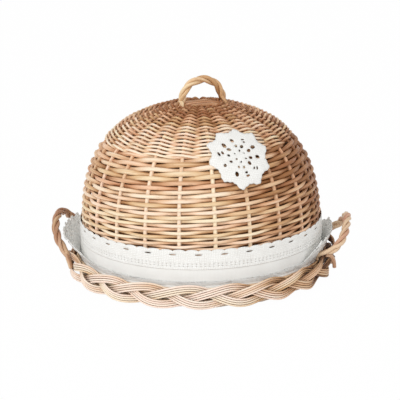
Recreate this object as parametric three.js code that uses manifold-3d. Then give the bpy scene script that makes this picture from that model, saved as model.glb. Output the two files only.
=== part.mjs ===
// A round willow tray with a plaited border and two rope-twist handles, under a tall woven dome lid.
// Millimetres, +Z up. The origin is the middle of the tray's underside, the side handles lie on +X and -X,
// and the view from the front looks along +Y.

import * as THREE from 'three';
import { mergeVertices } from 'three/addons/utils/BufferGeometryUtils.js';
import Module from 'manifold-3d';

// Fits shared by every piece
const CLEAR = 0.3; // gap between pieces that touch
const LID_PLAY = 1.2; // radial play of the lid inside the lined tray
const ROD_SIDES = 5;
const MERGE_WITHIN = 1e-4; // points nearer than this are one point

// Lid: woven dome
const LID_RADIUS = 151; // outside of the weave at the foot
const LID_SPRING = 60; // height above the floor where the wall starts to draw in
const LID_APEX = 208; // outside of the crown above the floor
const SHOULDER_ROUND = 0.7; // how the radius falls off, 1 is an ellipse
const SHOULDER_RISE = 0.9; // how the height climbs, 1 is an ellipse
const LID_TURN = THREE.MathUtils.degToRad(29.7); // how the lid happens to sit in the tray
const WEAVE_WALL = 9; // two weavers and the stake between them
const CROWN_RADIUS = 119; // where the fine weave meets the coarse one
const MERIDIAN_STEPS = 40; // points that describe the dome's outline
const CROWN_STEPS = 3; // straight steps of the outline down each weave
const SIDE_STEPS = 5;
const CROWN_DIP = 3; // how far the fine weave dips between two stakes, at its edge
const SIDE_ROWS = 18; // strokes of the coarse weave, one above another over each stake
const SIDE_PLAIN_ROWS = 7; // lowest strokes, left plain under the hem and the lace
const SIDE_GROWTH = 2.2; // height of the highest stroke, as a share of the lowest one's
const SIDE_SWING = 3; // half the way from the front of a stroke to its back
const SIDE_WEAVERS = 8; // weavers that climb round the lid together, an even number
const CROWN_COLUMNS = 2; // columns of points from one stake to the next
const SIDE_COLUMNS = 4;
const RIM_SIDES = 6; // facets round the rod border at the foot

// Lid: stakes, which cross at the crown in two layers
const STAKE_ENDS = 22;
const TURNED_SEGMENTS = 2 * STAKE_ENDS; // facets round every turned piece, so that a corner meets each stake
const STAKE_D = 4.4;
const STAKE_DEPTH = 5.4; // its middle below the outside of the weave
const STAKE_SKIN = 0.5; // weave that covers a stake where the stroke passes behind it
const STAKE_PITCH = 4.8; // spacing of the stakes where they cross
const SLATH_RADIUS = 23; // open middle of the crown weave, where the stakes cross

// Lid: cloth and trim
const HEM_T = 0.8; // cotton hem turned round the foot of the lid
const HEM_OUTER_RISE = 38;
const HEM_INNER_RISE = 18;
const LACE_T = 0.8;
const LACE_WIDTH = 24;
const LACE_LAP = 3.5; // how far the lace laps over the hem
const LINING_T = 0.8;
const LINING_GAP = 0.5;
const DOILY_RADIUS = 38;
const DOILY_T = 1.2;
const DOILY_POINTS = 10;
const DOILY_NOTCH = 5; // depth of the notch between two points
const DOILY_DROP = 0.5; // its middle below the seam of the two weaves, along the dome
const DOILY_AZIMUTH = THREE.MathUtils.degToRad(-90);
const DOILY_RINGS = [0.06, 0.35, 0.68, 1]; // rings that bend it over the dome, as shares of its radius

// Handles: three rods laid up as a rope
const ROPE_ROD_D = 3.8;
const ROPE_SLACK = 0.5; // how far each rod lies out from the closest lay
const ROPE_STRAIGHT = 1 / 3; // share of the unwound run where the rods lie straight, side by side
const ROPE_TURNS_TOP = 2;
const ROPE_TURNS_SIDE = 3;
const TOP_HANDLE_FOOT = 32; // where the rods enter the crown, from the lid's axis
const TOP_HANDLE_HALF = 27.5; // half the width of the loop, on the rope's middle
const TOP_HANDLE_RISE = 30; // rope's middle above the crown
const TOP_HANDLE_SEAT = 0.75; // how deep the rods enter the crown, as a share of its thickness
const TOP_HANDLE_WIND = 0.2; // share of the run at each foot where the rods are not yet wound
const TOP_HANDLE_STEPS = 24;
const SIDE_HANDLE_HALF = THREE.MathUtils.degToRad(17); // half the angle between a handle's feet
const SIDE_HANDLE_REACH = 27; // how far the loop leans out past the tray wall
const SIDE_HANDLE_RISE = 38; // rope's middle above the top of the tray wall
const SIDE_HANDLE_WIND = 0.16;
const SIDE_HANDLE_STEPS = 28;
const SIDE_FOOT_STOP = 2; // gap under a handle's foot, above the foot of the wall

// Tray: base, wall and plaited border
const BASE_T = 10;
const STICK_ENDS = 16;
const STICK_D = 4.2;
const STICK_PITCH = 4.7;
const BASE_EYE = 16; // open middle of the base weave, where the sticks cross
const LINER_T = 1.0;
const WALL_COVER = 0.1; // willow on each side of a handle's rod
const WALL_T = ROPE_ROD_D + 2 * WALL_COVER;
const WALL_RISE = 16; // wall above the base
const LINER_RISE = 17.5; // liner's wall above the base
const PLAIT_STRANDS = 3;
const PLAIT_WAVES = 7; // times each strand crosses the border and returns in one round
const BUNDLE_W = 9.8; // a strand is a flat bundle of rods laid side by side
const BUNDLE_T = 4.2;
const BUNDLE_SIDES = 6;
const PLAIT_SWING = 8.3; // how far a strand swings up and down
const PLAIT_DEPTH = 3.8; // how far it swings in and out
const PLAIT_MIDDLE = 17; // height of the plait's middle
const PLAIT_STEPS = 70;
const FRILL_T = 1.0; // lace edge of the liner
const FRILL_LOW = 4; // its height round the front and back
const FRILL_TALL = 25; // its height where it stands up beside a handle
const FRILL_AT_FOOT = 2.5; // its height where it passes a handle's foot
const FRILL_LEAN = 0.6; // outward lean, as a slope
const FRILL_TALL_WITHIN = 0.72; // the tall part ends here, as a share of the way to a handle's foot
const FRILL_TALL_FADE = 0.4; // how soon it rises inside that
const FRILL_LOW_FROM = 1.3; // past a handle's foot the frill rises again between these shares
const FRILL_LOW_AT = 2;
const FRILL_STEPS = 48;

// Heights and radii that follow from the sizes above
const linerFloor = BASE_T + CLEAR + LINER_T;
const lidFoot = linerFloor + CLEAR;
const rimMiddleZ = lidFoot + HEM_T + CLEAR + WEAVE_WALL / 2;
const weaveFoot = rimMiddleZ + WEAVE_WALL / 2 + CLEAR;
const hemInside = LID_RADIUS + CLEAR;
const hemOutside = hemInside + HEM_T;
const linerInside = hemOutside + LID_PLAY;
const linerOutside = linerInside + LINER_T;
const wallInside = linerOutside + CLEAR;
const wallOutside = wallInside + WALL_T;
const wallMiddle = (wallInside + wallOutside) / 2;
const wallFoot = BASE_T + CLEAR;
const wallTop = BASE_T + WALL_RISE;
const linerTop = BASE_T + LINER_RISE;
const plaitMiddle = wallOutside + CLEAR + PLAIT_DEPTH + BUNDLE_T / 2;
const handleFoot = wallMiddle;

const willow = new THREE.MeshStandardMaterial({ color: 0xd9ae7c, roughness: 0.5, metalness: 0 });
const darkWillow = new THREE.MeshStandardMaterial({ color: 0xb98350, roughness: 0.5, metalness: 0 });
const cotton = new THREE.MeshStandardMaterial({ color: 0xf1f0ec, roughness: 0.9, metalness: 0 });

const wasm = await Module();
wasm.setup();

// Geometry helpers

// Merges shared points, drops empty triangles and turns the faces outwards.
function closeSolid(geometry) {
  const bare = new THREE.BufferGeometry();
  bare.setAttribute('position', geometry.getAttribute('position'));
  bare.setIndex(geometry.getIndex());
  const merged = mergeVertices(bare, MERGE_WITHIN);
  const old = merged.getIndex().array;
  const position = merged.getAttribute('position');
  const kept = [];
  const corner = [new THREE.Vector3(), new THREE.Vector3(), new THREE.Vector3()];
  let volume = 0;
  for (let i = 0; i < old.length; i += 3) {
    const [a, b, c] = [old[i], old[i + 1], old[i + 2]];
    if (a === b || b === c || c === a) continue;
    kept.push(a, b, c);
    corner.forEach((point, k) => point.fromBufferAttribute(position, old[i + k]));
    volume += corner[0].dot(corner[1].cross(corner[2]));
  }
  if (volume < 0) kept.reverse();
  merged.setIndex(kept);
  merged.computeVertexNormals();
  return merged;
}

// Skins a row of equal rings of points: a ring if closed, otherwise with a flat cap at each end.
function skin(rings, closed) {
  const sides = rings[0].length;
  const index = [];
  const spans = closed ? rings.length : rings.length - 1;
  for (let i = 0; i < spans; i++) {
    const here = i * sides;
    const next = ((i + 1) % rings.length) * sides;
    for (let k = 0; k < sides; k++) {
      const l = (k + 1) % sides;
      index.push(here + k, next + k, next + l, here + k, next + l, here + l);
    }
  }
  const last = (rings.length - 1) * sides;
  for (let k = 1; !closed && k < sides - 1; k++) {
    index.push(0, k, k + 1, last, last + k + 1, last + k);
  }
  const geometry = new THREE.BufferGeometry().setFromPoints(rings.flat());
  geometry.setIndex(index);
  return closeSolid(geometry);
}

// A rod of even thickness along a row of points.
function rod(points, diameter) {
  const normal = new THREE.Vector3();
  const rings = points.map((point, i) => {
    const before = points[Math.max(i - 1, 0)];
    const after = points[Math.min(i + 1, points.length - 1)];
    const along = new THREE.Vector3().subVectors(after, before).normalize();
    if (i === 0) normal.set(...(Math.abs(along.z) < 0.9 ? [0, 0, 1] : [1, 0, 0]));
    normal.addScaledVector(along, -normal.dot(along)).normalize();
    const side = new THREE.Vector3().crossVectors(along, normal);
    return Array.from({ length: ROD_SIDES }, (_, k) => {
      const turn = (2 * Math.PI * k) / ROD_SIDES;
      return point
        .clone()
        .addScaledVector(normal, (Math.cos(turn) * diameter) / 2)
        .addScaledVector(side, (Math.sin(turn) * diameter) / 2);
    });
  });
  return skin(rings, false);
}

// A piece turned about Z from a closed outline of [radius, height] points.
function turned(outline) {
  const points = outline.map(([radius, height]) => new THREE.Vector2(radius, height));
  const onAxis = points[0].x === 0 && points[points.length - 1].x === 0;
  if (!onAxis) points.push(points[0].clone());
  return closeSolid(new THREE.LatheGeometry(points, TURNED_SEGMENTS).rotateX(Math.PI / 2));
}

function toManifold(geometry) {
  const vertProperties = new Float32Array(geometry.getAttribute('position').array);
  const triVerts = new Uint32Array(geometry.getIndex().array);
  return new wasm.Manifold(new wasm.Mesh({ numProp: 3, vertProperties, triVerts }));
}

function cut(geometry, tools) {
  const solid = tools.reduce((body, tool) => body.subtract(toManifold(tool)), toManifold(geometry));
  const mesh = solid.getMesh();
  const result = new THREE.BufferGeometry();
  result.setAttribute('position', new THREE.BufferAttribute(new Float32Array(mesh.vertProperties), 3));
  result.setIndex(Array.from(mesh.triVerts));
  return closeSolid(result);
}

const polar = (radius, angle, z) =>
  new THREE.Vector3(radius * Math.cos(angle), radius * Math.sin(angle), z);

// Finds where a rising function of 0 to 1 reaches a value.
function solve(rising, value) {
  let [low, high] = [0, 1];
  for (let i = 0; i < 50; i++) {
    const middle = (low + high) / 2;
    if (rising(middle) < value) low = middle;
    else high = middle;
  }
  return low;
}

// Lid's meridian: the outside of the dome from the apex out and down to the foot of the weave
const meridian = new THREE.SplineCurve([
  ...Array.from({ length: MERIDIAN_STEPS + 1 }, (_, i) => {
    const turn = (Math.PI / 2) * (1 - i / MERIDIAN_STEPS);
    const radius = LID_RADIUS * Math.pow(Math.max(Math.cos(turn), 0), SHOULDER_ROUND);
    const height = LID_SPRING + (LID_APEX - LID_SPRING) * Math.pow(Math.sin(turn), SHOULDER_RISE);
    return new THREE.Vector2(i === 0 ? 0 : radius, height);
  }),
  new THREE.Vector2(LID_RADIUS, (LID_SPRING + weaveFoot) / 2),
  new THREE.Vector2(LID_RADIUS, weaveFoot),
]);
meridian.arcLengthDivisions = 20 * MERIDIAN_STEPS;

// A point of the meridian moved in from the outside by a depth, as [radius, height].
function insetPoint(u, depth) {
  const point = meridian.getPointAt(u);
  const along = meridian.getTangentAt(u);
  return [Math.max(point.x + along.y * depth, 0), point.y - along.x * depth];
}
const atRadius = (radius) => solve((u) => meridian.getPointAt(u).x, radius);
const atHeight = (height) => solve((u) => -meridian.getPointAt(u).y, -height);
const spread = (from, to, steps) =>
  Array.from({ length: steps + 1 }, (_, i) => from + ((to - from) * i) / steps);

const crownSeam = atRadius(CROWN_RADIUS);
const seamGap = CLEAR / 2 / meridian.getLength();
const crownStops = spread(atRadius(SLATH_RADIUS), crownSeam - seamGap, CROWN_STEPS);
const sideStops = spread(crownSeam + seamGap, 1, SIDE_STEPS);

// Rods that cross in the middle in two layers and fan out to even angles. The rods of a layer lie side by
// side at the crossing; outwards gives the rest of a rod's run as [radius, height] points.
function crossedRods({ ends, pitch, diameter, middle, outwards }) {
  const layers = [Math.ceil(ends / 4), Math.floor(ends / 4)];
  const level = (diameter + CLEAR) / 2;
  const half = (layers[0] * pitch) / 2 + CLEAR;
  const rods = [];
  layers.forEach((count, layer) => {
    const heading = (layer * Math.PI) / 2;
    const height = middle + (layer === 0 ? level : -level);
    for (let i = 0; i < count; i++) {
      const place = i - (count - 1) / 2;
      const fan = (place * 2 * Math.PI) / ends;
      const far = outwards.map(([radius, z]) => polar(radius, fan, z));
      const near = [half, 0, -half].map((x) => new THREE.Vector3(x, place * pitch, height));
      const back = outwards.map(([radius, z]) => polar(radius, Math.PI - fan, z));
      const points = [...far.reverse(), ...near, ...back];
      rods.push(points.map((point) => point.applyAxisAngle(new THREE.Vector3(0, 0, 1), heading)));
    }
  });
  return rods;
}

// Rope handles: each of the three rods as a row of points along the rope's middle line. At the feet the rods
// lie side by side, footSpread apart; between the feet they wind round each other.
function ropeRods({ middle, frame, turns, footSpread, windFrom, steps }) {
  const curve = new THREE.CatmullRomCurve3(middle);
  const layRadius = ROPE_ROD_D / Math.sqrt(3) + ROPE_SLACK;
  return [-1, 0, 1].map((place) =>
    spread(0, 1, steps).map((u) => {
      const [outward, across] = frame(curve.getTangentAt(u));
      const wound = THREE.MathUtils.smoothstep(Math.min(u, 1 - u), windFrom * ROPE_STRAIGHT, windFrom);
      const run = THREE.MathUtils.clamp((u - windFrom) / (1 - 2 * windFrom), 0, 1);
      const lay = 2 * Math.PI * (turns * run + place / 3);
      return curve
        .getPointAt(u)
        .addScaledVector(outward, wound * layRadius * Math.cos(lay))
        .addScaledVector(across, wound * layRadius * Math.sin(lay) + (1 - wound) * place * footSpread);
    }),
  );
}

// Group of pieces, and the one way that a piece joins it
const basket = new THREE.Group();
const tray = new THREE.Group();
const lid = new THREE.Group();
lid.rotation.z = LID_TURN;
basket.add(tray, lid);

function addPiece(group, name, geometry, material) {
  const mesh = new THREE.Mesh(geometry, material);
  mesh.name = name;
  group.add(mesh);
}
const numbered = (name, i) => `${name}_${String(i + 1).padStart(2, '0')}`;

// Tray: woven base on crossed sticks
const stickRuns = (reach) =>
  crossedRods({
    ends: STICK_ENDS,
    pitch: STICK_PITCH,
    diameter: STICK_D,
    middle: BASE_T / 2,
    outwards: [[BASE_EYE, BASE_T / 2], [wallOutside + reach, BASE_T / 2]],
  });
stickRuns(0).forEach((run, i) => {
  addPiece(tray, numbered('base_stick', i), rod(run, STICK_D), willow);
});
const stickBores = stickRuns(BASE_T).map((run) => rod(run, STICK_D + 2 * CLEAR));
const baseDisc = turned([[BASE_EYE, 0], [wallOutside, 0], [wallOutside, BASE_T], [BASE_EYE, BASE_T]]);
addPiece(tray, 'base_weave', cut(baseDisc, stickBores), willow);

// Tray: handles, each of three rods. The middle rod of each foot is pushed down beside the wall weave.
// A handle is laid out flat, as steps out from the wall, along the rim and up, and then bent round the rim.
const footBottom = wallFoot + SIDE_FOOT_STOP;
const sideHandleHalf = [
  [0, 1, 0],
  [0, 1, 0.1],
  [0.1, 1, 0.17],
  [0.3, 0.99, 0.23],
  [0.56, 0.95, 0.31],
  [0.83, 0.84, 0.47],
  [0.98, 0.6, 0.74],
  [1, 0.3, 0.94],
  [1, 0, 1],
].map(([reach, along, rise]) => new THREE.Vector3(
  reach * SIDE_HANDLE_REACH,
  -along * SIDE_HANDLE_HALF * handleFoot,
  wallTop + CLEAR + rise * SIDE_HANDLE_RISE,
));
const bentRoundRim = ({ x, y, z }) => polar(handleFoot + x, y / handleFoot, z);
const loopLean = new THREE.Vector3(SIDE_HANDLE_RISE, 0, -SIDE_HANDLE_REACH).normalize();

function sideHandleFrame(tangent) {
  const across = new THREE.Vector3().crossVectors(tangent, loopLean).normalize();
  return [new THREE.Vector3().crossVectors(across, tangent), across];
}

function addSideHandle(side, turn) {
  const mirrored = sideHandleHalf.slice(0, -1).map(({ x, y, z }) => new THREE.Vector3(x, -y, z));
  const rods = ropeRods({
    middle: [...sideHandleHalf, ...mirrored.reverse()],
    frame: sideHandleFrame,
    turns: ROPE_TURNS_SIDE,
    footSpread: ROPE_ROD_D + 4 * CLEAR,
    windFrom: SIDE_HANDLE_WIND,
    steps: SIDE_HANDLE_STEPS,
  });
  const core = rods[1];
  const drop = (point) => new THREE.Vector3(point.x, point.y, footBottom);
  rods[1] = [drop(core[0]), ...core, drop(core[core.length - 1])];
  const handle = new THREE.Group();
  handle.rotation.z = turn;
  tray.add(handle);
  rods.forEach((run, i) => {
    addPiece(handle, numbered(`${side}_handle_rod`, i), rod(run.map(bentRoundRim), ROPE_ROD_D), darkWillow);
  });
}
addSideHandle('right', 0);
addSideHandle('left', Math.PI);

// Tray: low woven wall, slotted for the middle rod of each handle foot
const slotWidth = ROPE_ROD_D + 2 * CLEAR;
const handleSlots = [0, Math.PI].flatMap((turn) =>
  [-1, 1].map((foot) => {
    const height = wallTop - footBottom + 2 * CLEAR;
    const slot = new THREE.BoxGeometry(2 * WALL_T, slotWidth, height);
    slot.translate(handleFoot, 0, footBottom - CLEAR + height / 2);
    return closeSolid(slot.rotateZ(turn + foot * SIDE_HANDLE_HALF));
  }),
);
const wallRing = turned([
  [wallInside, wallFoot],
  [wallOutside, wallFoot],
  [wallOutside, wallTop],
  [wallInside, wallTop],
]);
addPiece(tray, 'wall_weave', cut(wallRing, handleSlots), willow);

// Tray: border plaited from three flat bundles of rods, each a closed ring
function plaitStrand(strand) {
  const phase = (2 * Math.PI * strand) / PLAIT_STRANDS;
  const middleAt = (angle) => {
    const swing = PLAIT_WAVES * angle + phase;
    const radius = plaitMiddle + PLAIT_DEPTH * Math.sin(2 * swing);
    return polar(radius, angle, PLAIT_MIDDLE + PLAIT_SWING * Math.sin(swing));
  };
  const nudge = 1e-3;
  const rings = Array.from({ length: PLAIT_STEPS }, (_, i) => {
    const angle = (2 * Math.PI * i) / PLAIT_STEPS;
    const along = middleAt(angle + nudge).sub(middleAt(angle - nudge)).normalize();
    const outward = polar(1, angle, 0);
    outward.addScaledVector(along, -outward.dot(along)).normalize();
    const across = new THREE.Vector3().crossVectors(outward, along);
    return Array.from({ length: BUNDLE_SIDES }, (__, k) => {
      const turn = (2 * Math.PI * k) / BUNDLE_SIDES;
      return middleAt(angle)
        .addScaledVector(across, (Math.cos(turn) * BUNDLE_W) / 2)
        .addScaledVector(outward, (Math.sin(turn) * BUNDLE_T) / 2);
    });
  });
  return skin(rings, true);
}
for (let strand = 0; strand < PLAIT_STRANDS; strand++) {
  addPiece(tray, numbered('border_plait_strand', strand), plaitStrand(strand), willow);
}

// Tray: cotton liner, a flat-bottomed cup, and the lace frill that stands on its edge
const liner = turned([
  [0, BASE_T + CLEAR],
  [linerOutside, BASE_T + CLEAR],
  [linerOutside, linerTop],
  [linerInside, linerTop],
  [linerInside, linerFloor],
  [0, linerFloor],
]);
addPiece(tray, 'liner_cloth', liner, cotton);

// Height of the frill above the liner: tall within a handle's loop, low at its feet, medium elsewhere.
function frillHeight(angle) {
  const fromHandle = Math.abs(Math.atan2(Math.sin(2 * angle), Math.cos(2 * angle))) / 2;
  const share = fromHandle / SIDE_HANDLE_HALF;
  const inside = THREE.MathUtils.smoothstep(FRILL_TALL_WITHIN - share, 0, FRILL_TALL_FADE);
  const beyond = THREE.MathUtils.smoothstep(share, FRILL_LOW_FROM, FRILL_LOW_AT);
  return FRILL_AT_FOOT + inside * (FRILL_TALL - FRILL_AT_FOOT) + beyond * (FRILL_LOW - FRILL_AT_FOOT);
}
const frillRings = Array.from({ length: FRILL_STEPS }, (_, i) => {
  const angle = (2 * Math.PI * i) / FRILL_STEPS;
  const height = frillHeight(angle);
  const foot = linerOutside - FRILL_T;
  const bottom = linerTop + CLEAR;
  const lean = FRILL_LEAN * Math.max(height - FRILL_AT_FOOT, 0);
  return [
    polar(foot, angle, bottom),
    polar(foot + FRILL_T, angle, bottom),
    polar(foot + FRILL_T + lean, angle, bottom + height),
    polar(foot + lean, angle, bottom + height),
  ];
});
addPiece(tray, 'liner_lace_frill', skin(frillRings, true), cotton);

// Lid: stakes that run from foot to foot over the crown, and the two weaves that hold them
const stakeStops = [...crownStops.slice(1), ...sideStops.slice(1)];
const stakeMiddle = insetPoint(crownStops[0], WEAVE_WALL / 2);
const stakeRuns = crossedRods({
  ends: STAKE_ENDS,
  pitch: STAKE_PITCH,
  diameter: STAKE_D,
  middle: stakeMiddle[1],
  outwards: [stakeMiddle, ...stakeStops.map((u) => insetPoint(u, STAKE_DEPTH))],
});
const lengthened = (run, by) => {
  const down = new THREE.Vector3(0, 0, -by);
  return [run[0].clone().add(down), ...run.slice(1, -1), run[run.length - 1].clone().add(down)];
};
stakeRuns.forEach((run, i) => {
  addPiece(lid, numbered('lid_stake', i), rod(run, STAKE_D), willow);
});
const stakeBores = stakeRuns.map((run) => rod(lengthened(run, CLEAR), STAKE_D + 2 * CLEAR));

// A weave in columns of points, the first of each bay on a stake. outsideAt gives a column's outside from its
// foot up, as [place on the meridian, depth] pairs, from how many stakes it has passed.
function wovenShell(bayColumns, stops, outsideAt) {
  const count = bayColumns * STAKE_ENDS;
  const facet = (2 * Math.PI) / TURNED_SEGMENTS;
  const columns = Array.from({ length: count }, (_, k) => {
    const fromStake = (2 * Math.PI * k) / count;
    const angle = Math.PI / STAKE_ENDS + fromStake;
    const flat = Math.cos(facet / 2) / Math.cos((fromStake % facet) - facet / 2);
    const outside = outsideAt(k / bayColumns);
    const inside = stops.map((u) => [u, WEAVE_WALL]);
    return [...outside, ...inside].map(([u, depth]) => {
      const [radius, z] = insetPoint(u, depth);
      return polar(radius * flat, angle, z);
    });
  });
  return skin(columns, true);
}

// Fine weave: every row passes over every stake and dips between them.
const crownOutside = (passed) =>
  crownStops.toReversed().map((u) => [u, Number.isInteger(passed) ? 0 : (CROWN_DIP * u) / crownSeam]);

// Coarse weave: each weaver passes in front and behind by turns, and in a round it climbs a level for each
// weaver.
const sideLevels = 2 * SIDE_ROWS;
const sideLength = 1 - sideStops[0];
const stakeCover = STAKE_DEPTH - STAKE_D / 2 - CLEAR - STAKE_SKIN;
const atLevel = (level) =>
  1 - (sideLength * (Math.pow(SIDE_GROWTH, level / sideLevels) - 1)) / (SIDE_GROWTH - 1);
const sideRows = [0, ...Array.from({ length: sideLevels + 1 }, (_, i) => i).slice(2 * SIDE_PLAIN_ROWS)];
const sideOutside = (passed) => {
  const climbed = (SIDE_WEAVERS * passed) / STAKE_ENDS;
  const whole = Math.round(climbed);
  return sideRows.map((row) => {
    if (row === 0 || row === sideLevels) return [atLevel(row), 0];
    const depth = SIDE_SWING * (1 - Math.cos(Math.PI * (row - whole + passed)));
    return [atLevel(row + climbed - whole), Number.isInteger(passed) ? Math.min(depth, stakeCover) : depth];
  });
};

// Lid: loop handle, whose rods enter the crown weave between the stakes
const handleSeat = insetPoint(atRadius(TOP_HANDLE_FOOT), 0)[1];
const loopTop = LID_APEX + TOP_HANDLE_RISE - handleSeat;
const topHandleHalf = [
  [TOP_HANDLE_FOOT, -WEAVE_WALL * TOP_HANDLE_SEAT],
  [TOP_HANDLE_FOOT, CLEAR],
  [(TOP_HANDLE_FOOT + TOP_HANDLE_HALF) / 2, loopTop * 0.22],
  [TOP_HANDLE_HALF, loopTop * 0.5],
  [TOP_HANDLE_HALF * 0.72, loopTop * 0.86],
  [0, loopTop],
].map(([x, rise]) => new THREE.Vector3(x, 0, handleSeat + rise));
const topHandleMirror = topHandleHalf.slice(0, -1).map((point) => new THREE.Vector3(-point.x, 0, point.z));
const topHandleRuns = ropeRods({
  middle: [...topHandleHalf, ...topHandleMirror.reverse()],
  frame: (tangent) => {
    const across = new THREE.Vector3(0, 1, 0);
    return [new THREE.Vector3().crossVectors(across, tangent), across];
  },
  turns: ROPE_TURNS_TOP,
  footSpread: TOP_HANDLE_FOOT * Math.sin((2 * Math.PI) / STAKE_ENDS),
  windFrom: TOP_HANDLE_WIND,
  steps: TOP_HANDLE_STEPS,
});
topHandleRuns.forEach((run, i) => {
  addPiece(lid, numbered('top_handle_rod', i), rod(run, ROPE_ROD_D), darkWillow);
});
const handleBores = topHandleRuns.map((run) => rod(lengthened(run, CLEAR), ROPE_ROD_D + 2 * CLEAR));

const crown = cut(wovenShell(CROWN_COLUMNS, crownStops, crownOutside), [...stakeBores, ...handleBores]);
addPiece(lid, 'lid_crown_weave', crown, willow);
const side = cut(wovenShell(SIDE_COLUMNS, sideStops, sideOutside), stakeBores);
addPiece(lid, 'lid_side_weave', side, willow);

// Lid: border round the foot, under the weave
const rimRadius = LID_RADIUS - WEAVE_WALL / 2;
const rimOutline = Array.from({ length: RIM_SIDES }, (_, k) => {
  const turn = (2 * Math.PI * k) / RIM_SIDES;
  return [
    rimRadius + (Math.cos(turn) * WEAVE_WALL) / 2,
    rimMiddleZ + (Math.sin(turn) * WEAVE_WALL) / 2,
  ];
});
addPiece(lid, 'lid_rim_border', turned(rimOutline), willow);

// Lid: cotton hem turned round the foot, lining inside the dome, lace ribbon over the hem's top edge
const hemInnerFace = LID_RADIUS - WEAVE_WALL - CLEAR;
const hemOuterTop = lidFoot + HEM_OUTER_RISE;
const hemInnerTop = lidFoot + HEM_INNER_RISE;
const hem = turned([
  [hemInnerFace - HEM_T, hemInnerTop],
  [hemInnerFace - HEM_T, lidFoot],
  [hemOutside, lidFoot],
  [hemOutside, hemOuterTop],
  [hemInside, hemOuterTop],
  [hemInside, lidFoot + HEM_T],
  [hemInnerFace, lidFoot + HEM_T],
  [hemInnerFace, hemInnerTop],
]);
addPiece(lid, 'lid_cotton_hem', hem, cotton);

const weaveStops = [...crownStops, ...sideStops.slice(1, -1)];
const liningStops = [0, ...weaveStops.filter((_, i) => i % 2 === 1), atHeight(hemInnerTop + CLEAR)];
const liningFace = (depth) => liningStops.map((u) => insetPoint(u, WEAVE_WALL + depth));
const lining = turned([...liningFace(LINING_GAP), ...liningFace(LINING_GAP + LINING_T).reverse()]);
addPiece(lid, 'lid_cotton_lining', lining, cotton);

const laceFoot = hemOuterTop - LACE_LAP;
const laceTop = laceFoot + LACE_WIDTH;
const laceInsideTop = insetPoint(atHeight(laceTop), 0)[0] + CLEAR;
const lace = turned([
  [hemOutside + CLEAR, laceFoot],
  [hemOutside + CLEAR + LACE_T, laceFoot],
  [hemOutside + CLEAR + LACE_T, hemOuterTop],
  [laceInsideTop + LACE_T, laceTop],
  [laceInsideTop, laceTop],
  [hemOutside + CLEAR, hemOuterTop],
]);
addPiece(lid, 'lid_lace_ribbon', lace, cotton);

// Lid: crochet doily lying on the dome, a thin plate with a pointed edge
const doilyMiddle = crownSeam + DOILY_DROP / meridian.getLength();
function onDome(reach, turn, lift) {
  const u = doilyMiddle + (reach * Math.cos(turn)) / meridian.getLength();
  const [radius] = insetPoint(u, 0);
  const [r, z] = insetPoint(u, -lift);
  return polar(r, DOILY_AZIMUTH + (reach * Math.sin(turn)) / radius, z);
}
function doilyRing(share, lift) {
  return Array.from({ length: 2 * DOILY_POINTS }, (_, k) => {
    const edge = DOILY_RADIUS - (k % 2) * DOILY_NOTCH;
    return onDome(share * edge, (Math.PI * k) / DOILY_POINTS, lift);
  });
}
const doilyRings = [
  ...DOILY_RINGS.map((share) => doilyRing(share, CLEAR + DOILY_T)),
  ...DOILY_RINGS.toReversed().map((share) => doilyRing(share, CLEAR)),
];
addPiece(lid, 'crochet_doily', skin(doilyRings, false), cotton);

export default basket;
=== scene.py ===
"""A round willow basket: a cotton-lined tray with a plaited border, under a tall woven dome lid.

Sizes are written in millimetres, as a basket maker would give them, and become metres where a mesh is made.
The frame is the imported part's own: +Z is up, the side handles lie on +X and -X, and the front faces -Y.
"""

import logging
import math
from dataclasses import dataclass, field
from enum import Enum
from typing import Any, Callable, Sequence

import bpy
import numpy as np
from mathutils import Matrix, Vector
from mathutils.geometry import delaunay_2d_cdt


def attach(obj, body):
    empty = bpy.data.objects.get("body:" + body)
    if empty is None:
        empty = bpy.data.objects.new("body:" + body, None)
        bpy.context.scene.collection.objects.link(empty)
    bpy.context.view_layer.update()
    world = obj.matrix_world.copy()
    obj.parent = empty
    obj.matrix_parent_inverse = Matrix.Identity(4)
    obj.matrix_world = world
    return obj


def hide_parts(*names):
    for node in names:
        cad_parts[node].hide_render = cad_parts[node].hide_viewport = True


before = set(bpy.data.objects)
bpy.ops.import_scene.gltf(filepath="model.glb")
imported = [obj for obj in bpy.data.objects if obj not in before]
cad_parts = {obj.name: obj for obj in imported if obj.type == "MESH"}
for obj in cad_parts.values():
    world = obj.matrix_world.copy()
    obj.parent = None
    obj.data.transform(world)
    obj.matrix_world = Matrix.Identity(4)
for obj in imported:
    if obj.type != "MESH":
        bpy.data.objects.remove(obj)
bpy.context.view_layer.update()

log = logging.getLogger("basket")

MM = 0.001
TURN = 2 * math.pi
Points = np.ndarray
Placed = Callable[[Points, Points, Points], Points]
Crease = Callable[[Points, Points], Points]
Piece = bpy.types.Object
Material = bpy.types.Material
Tree = bpy.types.NodeTree
Socket = bpy.types.NodeSocket


class Body(Enum):
    """The two bodies that pieces ride on."""

    TRAY = "tray"
    LID = "lid"


class Slot(Enum):
    """The record's material slots."""

    PEELED = "peeled_willow"
    BROWN = "brown_willow"
    CLOTH = "cotton_cloth"
    LACE = "cotton_lace"


class Held(Enum):
    """How a sheet of cloth is held."""

    STRETCHED = "stretched"
    GATHERED = "gathered"
    LAID = "laid"


class Side(Enum):
    """The two side handles."""

    LEFT = "left"
    RIGHT = "right"


# Small shared tools


def linear(hex_colour: str) -> tuple[float, float, float, float]:
    """Turns an sRGB hex colour into linear light.

    Args:
        hex_colour: Six hex digits with a leading hash.

    Returns:
        Red, green, blue and an alpha of one.
    """
    shares = [int(hex_colour[i : i + 2], 16) / 255 for i in (1, 3, 5)]
    light = [s / 12.92 if s <= 0.04045 else ((s + 0.055) / 1.055) ** 2.4 for s in shares]
    return (*light, 1.0)


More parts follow.
